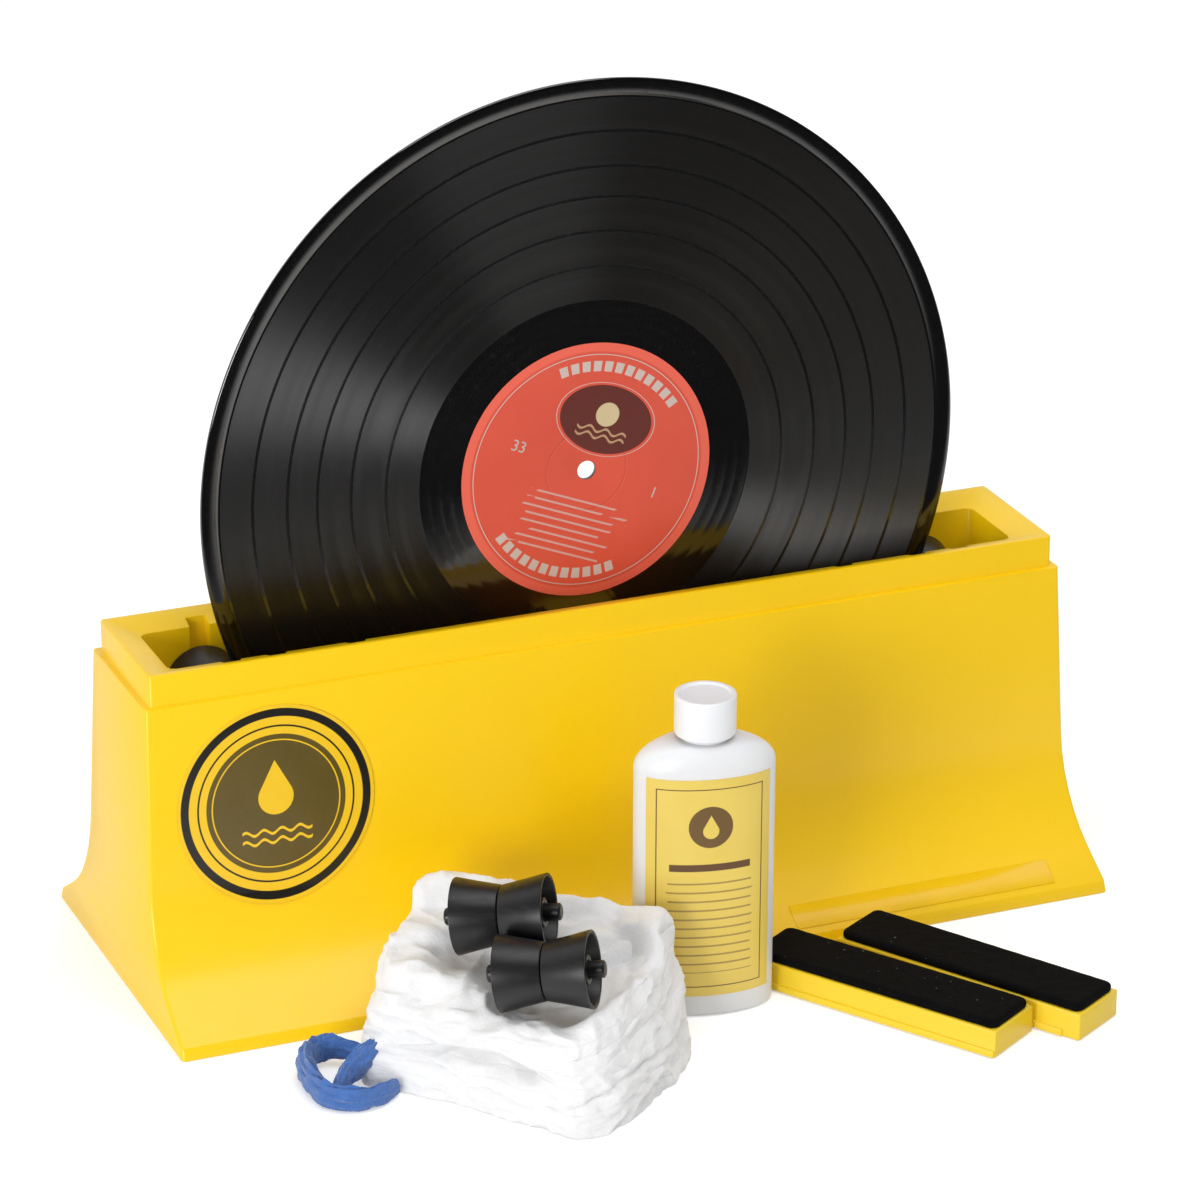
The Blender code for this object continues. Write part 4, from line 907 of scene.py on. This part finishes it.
def side_depth(share):
    """How far the side lies in at a share of the height: under the arch and at the shoulder."""
    t = np.clip((round_share - 0.735) / 0.235, 0, 1)
    arch = np.sin(np.pi * t)
    lip = 0.50 + 0.16 * arch
    hollow = np.where(share > lip, np.exp(-((share - lip) / 0.025) ** 2),
                      np.exp(-((lip - share) / 0.20) ** 2))
    under = 0.0078 * np.clip(arch * 2.2, 0, 1) * hollow
    crease = 0.0016 * np.exp(-((share - 0.30 - 0.10 * np.sin(round_share * 19)) / 0.03) ** 2)
    shoulder = 0.0055 * (1 - math.sqrt(1 - max(0.0, (share - 0.80) / 0.20) ** 2))
    return under + crease + shoulder


def press_under_rollers(points):
    """Lower the places that lie under a loose roller until they clear it, softly at its ends."""
    for centre, axis in roller_axes:
        away = points - np.array(centre)
        along = away @ np.array(axis)
        radius = np.interp(np.abs(along), (0, 0.0169, 0.0185, 0.0225, 0.0270),
                           (0.0111, 0.0148, 0.0148, 0.0120, 0.0))
        side = np.array(Vector((axis.y, -axis.x, 0)).normalized())
        aside = np.abs(away @ side)
        under = centre.z + along * axis.z - np.sqrt(np.clip(radius ** 2 - aside ** 2, 0, None))
        hit = (aside < radius) & (points[:, 2] > under)
        points[hit, 2] = under[hit]


def cloth_ring(outline, inset, share):
    """One ring of a layer: its outline drawn in, at a share of the stack's height."""
    centre = outline.mean(0)
    toward = centre - outline
    reach = np.linalg.norm(toward, axis=1, keepdims=True)
    flat = outline + toward / reach * np.minimum(inset * np.ones_like(reach), reach * 0.96)
    z = share * cloth_height(flat[:, 0], flat[:, 1])
    return np.c_[flat, z]


def layer_outline(share):
    """The stack's outline at a share of its height."""
    blend = np.interp(share, (0, 0.12, 0.45, 0.75, 0.93), (0, 0, 0.35, 0.8, 1))
    return foot_ring * (1 - blend) + top_ring * blend


# noise_vector draws on a seed that starts from the clock, so it is set here.
NOISE_SEED = 4
noise.seed_set(NOISE_SEED)


def crumple(x, y, z):
    """Soft folds, small creases and tufts of the cotton."""
    spot = Vector((x, y, z * 1.7))
    bent = spot + noise.noise_vector(spot * 40) * 0.007
    folds = noise.noise(bent * 48) * 0.0020
    creases = (0.26 - abs(noise.noise(bent * 88 + Vector((3, 5, 7))))) * 0.0034
    tufts = noise.noise(spot * 330) * 0.00035 + noise.noise(spot * 900) * 0.00012
    return folds + creases + tufts - 0.0008


LAYERS, STEPS, TOP_RINGS = 8, 8, 50
bm = bmesh.new()
for layer in range(LAYERS):
    last = layer == LAYERS - 1
    rings = []
    for inset in (0.045, 0.02):
        rings.append(cloth_ring(layer_outline(layer / LAYERS), inset, (layer + 0.03) / LAYERS))
    for k in range(STEPS + 1):
        share = (layer + 0.006 + 0.988 * k / STEPS) / LAYERS
        tuck = 0.0001 if k in (0, STEPS) else 0.0
        ring = cloth_ring(layer_outline(share), (side_depth(share) + tuck)[:, None], share)
        outward = ring[:, :2] - ring[:, :2].mean(0)
        outward /= np.linalg.norm(outward, axis=1, keepdims=True)
        rise = math.pi / 2 * k / STEPS if last else 0.0
        for i, (x, y, z) in enumerate(ring):
            out = crumple(x, y, z)
            ring[i, :2] += outward[i] * out * math.cos(rise)
            ring[i, 2] += out * math.sin(rise)
        rings.append(ring)
    over = layer_outline(share)
    for inset in (np.linspace(0.001, 0.055, TOP_RINGS) if last else (0.012, 0.03, 0.05)):
        ring = cloth_ring(over, (side_depth(share) + inset)[:, None], share)
        if last:
            ring[:, 2] += [crumple(*place) for place in ring]
        rings.append(ring)
    skinned(rings, bm)
places = np.array([vert.co for vert in bm.verts])
places[:, 2] = np.maximum(places[:, 2], 0.00015)
places[:, 1] = np.minimum(places[:, 1], skirt_limit(np.maximum(places[:, 2] - 0.0004, 0)) - 0.0006)
press_under_rollers(places)
for vert, place in zip(bm.verts, places):
    vert.co = place
bmesh.ops.recalc_face_normals(bm, faces=bm.faces)

cotton, tree, shader = finish("white cotton")
place = tree.nodes.new("ShaderNodeTexCoord")
slant = tree.nodes.new("ShaderNodeMapping")
slant.inputs["Rotation"].default_value = (0, 0, math.radians(-38.5))
tree.links.new(place.outputs["Object"], slant.inputs["Vector"])
parts = tree.nodes.new("ShaderNodeSeparateXYZ")
tree.links.new(slant.outputs[0], parts.inputs[0])
wobble = calc(tree, "MULTIPLY", noise_at(tree, 160, 2), 2.6)


def threads(axis):
    """Ripples of thread across an axis, a little uneven."""
    across_threads = calc(tree, "MULTIPLY", parts.outputs[axis], 4200.0)
    return calc(tree, "SINE", calc(tree, "ADD", across_threads, wobble))


crossed = calc(tree, "ADD", threads("X"), threads("Y"))
weave = calc(tree, "MULTIPLY", calc(tree, "ADD", crossed, threads("Z")), 0.05)
fuzz = noise_at(tree, 700, 4, rough=0.7)
soft_folds = noise_at(tree, 95, 3)
relief = calc(tree, "ADD", calc(tree, "ADD", weave, fuzz), calc(tree, "MULTIPLY", soft_folds, 3.0))
put(tree, shader.inputs["Normal"], bump(tree, relief, 0.00025, 0.8))
put(tree, shader.inputs["Base Color"], mix(tree, fuzz, (0.76, 0.76, 0.77), (0.84, 0.84, 0.84)))
shader.inputs["Roughness"].default_value = 0.95
shader.inputs["Specular IOR Level"].default_value = 0.1
shader.inputs["Sheen Weight"].default_value = 0.4
shader.inputs["Sheen Roughness"].default_value = 0.6
shader.inputs["Subsurface Weight"].default_value = 0.25
shader.inputs["Subsurface Radius"].default_value = (0.003, 0.003, 0.003)
cloth = piece("cotton_cloth", bm, cotton, "cloth", ["drying_cloth"], 75)

# Hem: the cloth's blue woven edge, which hangs out of the stack at the left in a loop on the
# table. It is a bunched band of coarse blue thread whose strands cross as they come out.
hem_blue, tree, shader = finish("blue woven hem")
fray = noise_at(tree, 1500, 3)
put(tree, shader.inputs["Base Color"], mix(tree, fray, (0.025, 0.095, 0.34), (0.08, 0.20, 0.52)))
put(tree, shader.inputs["Normal"], bump(tree, fray, 0.0003))
shader.inputs["Roughness"].default_value = 0.9
shader.inputs["Sheen Weight"].default_value = 0.4


def smooth_line(points, count):
    """A smooth open line through (x, y, z, width) places."""
    places = np.array([points[0], *points, points[-1]], float)
    at = np.linspace(0, len(points) - 1.0001, count)
    start = at.astype(int)
    return between(*(places[start + j] for j in range(4)), (at - start)[:, None])


def bunched_band(bm, points, count, seed):
    """A bunched strip of cloth along a line, its pleats and cords running lengthwise."""
    line = smooth_line(points, count)
    rings = []
    for i, (x, y, z, width) in enumerate(line):
        ahead, behind = line[min(i + 1, count - 1)], line[max(i - 1, 0)]
        side = Vector((ahead[1] - behind[1], behind[0] - ahead[0], 0)).normalized()
        ring = []
        for k in range(40):
            angle = 2 * math.pi * k / 40
            spot = Vector((3 * math.cos(angle), 3 * math.sin(angle), i * 0.045 + seed))
            ripple = math.sin(angle * 9 + 2 * noise.noise(spot * 0.5))
            pleat = 1 + 0.30 * noise.noise(spot) + 0.07 * ripple
            cord = 1 + 0.05 * noise.noise(Vector((k * 0.9, i * 0.45, seed)))
            reach = width * 0.5 * pleat * cord
            place = Vector((x, y, z)) + side * reach * math.cos(angle) * 0.55
            place.z = max(place.z + reach * math.sin(angle), 0.00015)
            ring.append(place)
        rings.append(ring)
    return skinned(rings, bm)


outer = ((-0.1290, -0.0480, 0.0060, 0.006), (-0.1371, -0.0420, 0.0070, 0.009),
         (-0.1440, -0.0415, 0.0065, 0.010), (-0.1500, -0.0475, 0.0060, 0.011),
         (-0.1520, -0.0600, 0.0055, 0.011), (-0.1500, -0.0725, 0.0050, 0.010),
         (-0.1420, -0.0785, 0.0045, 0.009), (-0.1320, -0.0775, 0.0040, 0.008),
         (-0.1245, -0.0730, 0.0035, 0.006))
inner = ((-0.1255, -0.0585, 0.0125, 0.008), (-0.1335, -0.0615, 0.0100, 0.011),
         (-0.1405, -0.0650, 0.0075, 0.010), (-0.1455, -0.0705, 0.0055, 0.008),
         (-0.1480, -0.0745, 0.0040, 0.005))
bm = bunched_band(bmesh.new(), outer, 420, 0)
bunched_band(bm, inner, 200, 40)
bmesh.ops.recalc_face_normals(bm, faces=bm.faces)
hem = piece("woven_hem", bm, hem_blue, "cloth", ["cloth_hem"], 60)
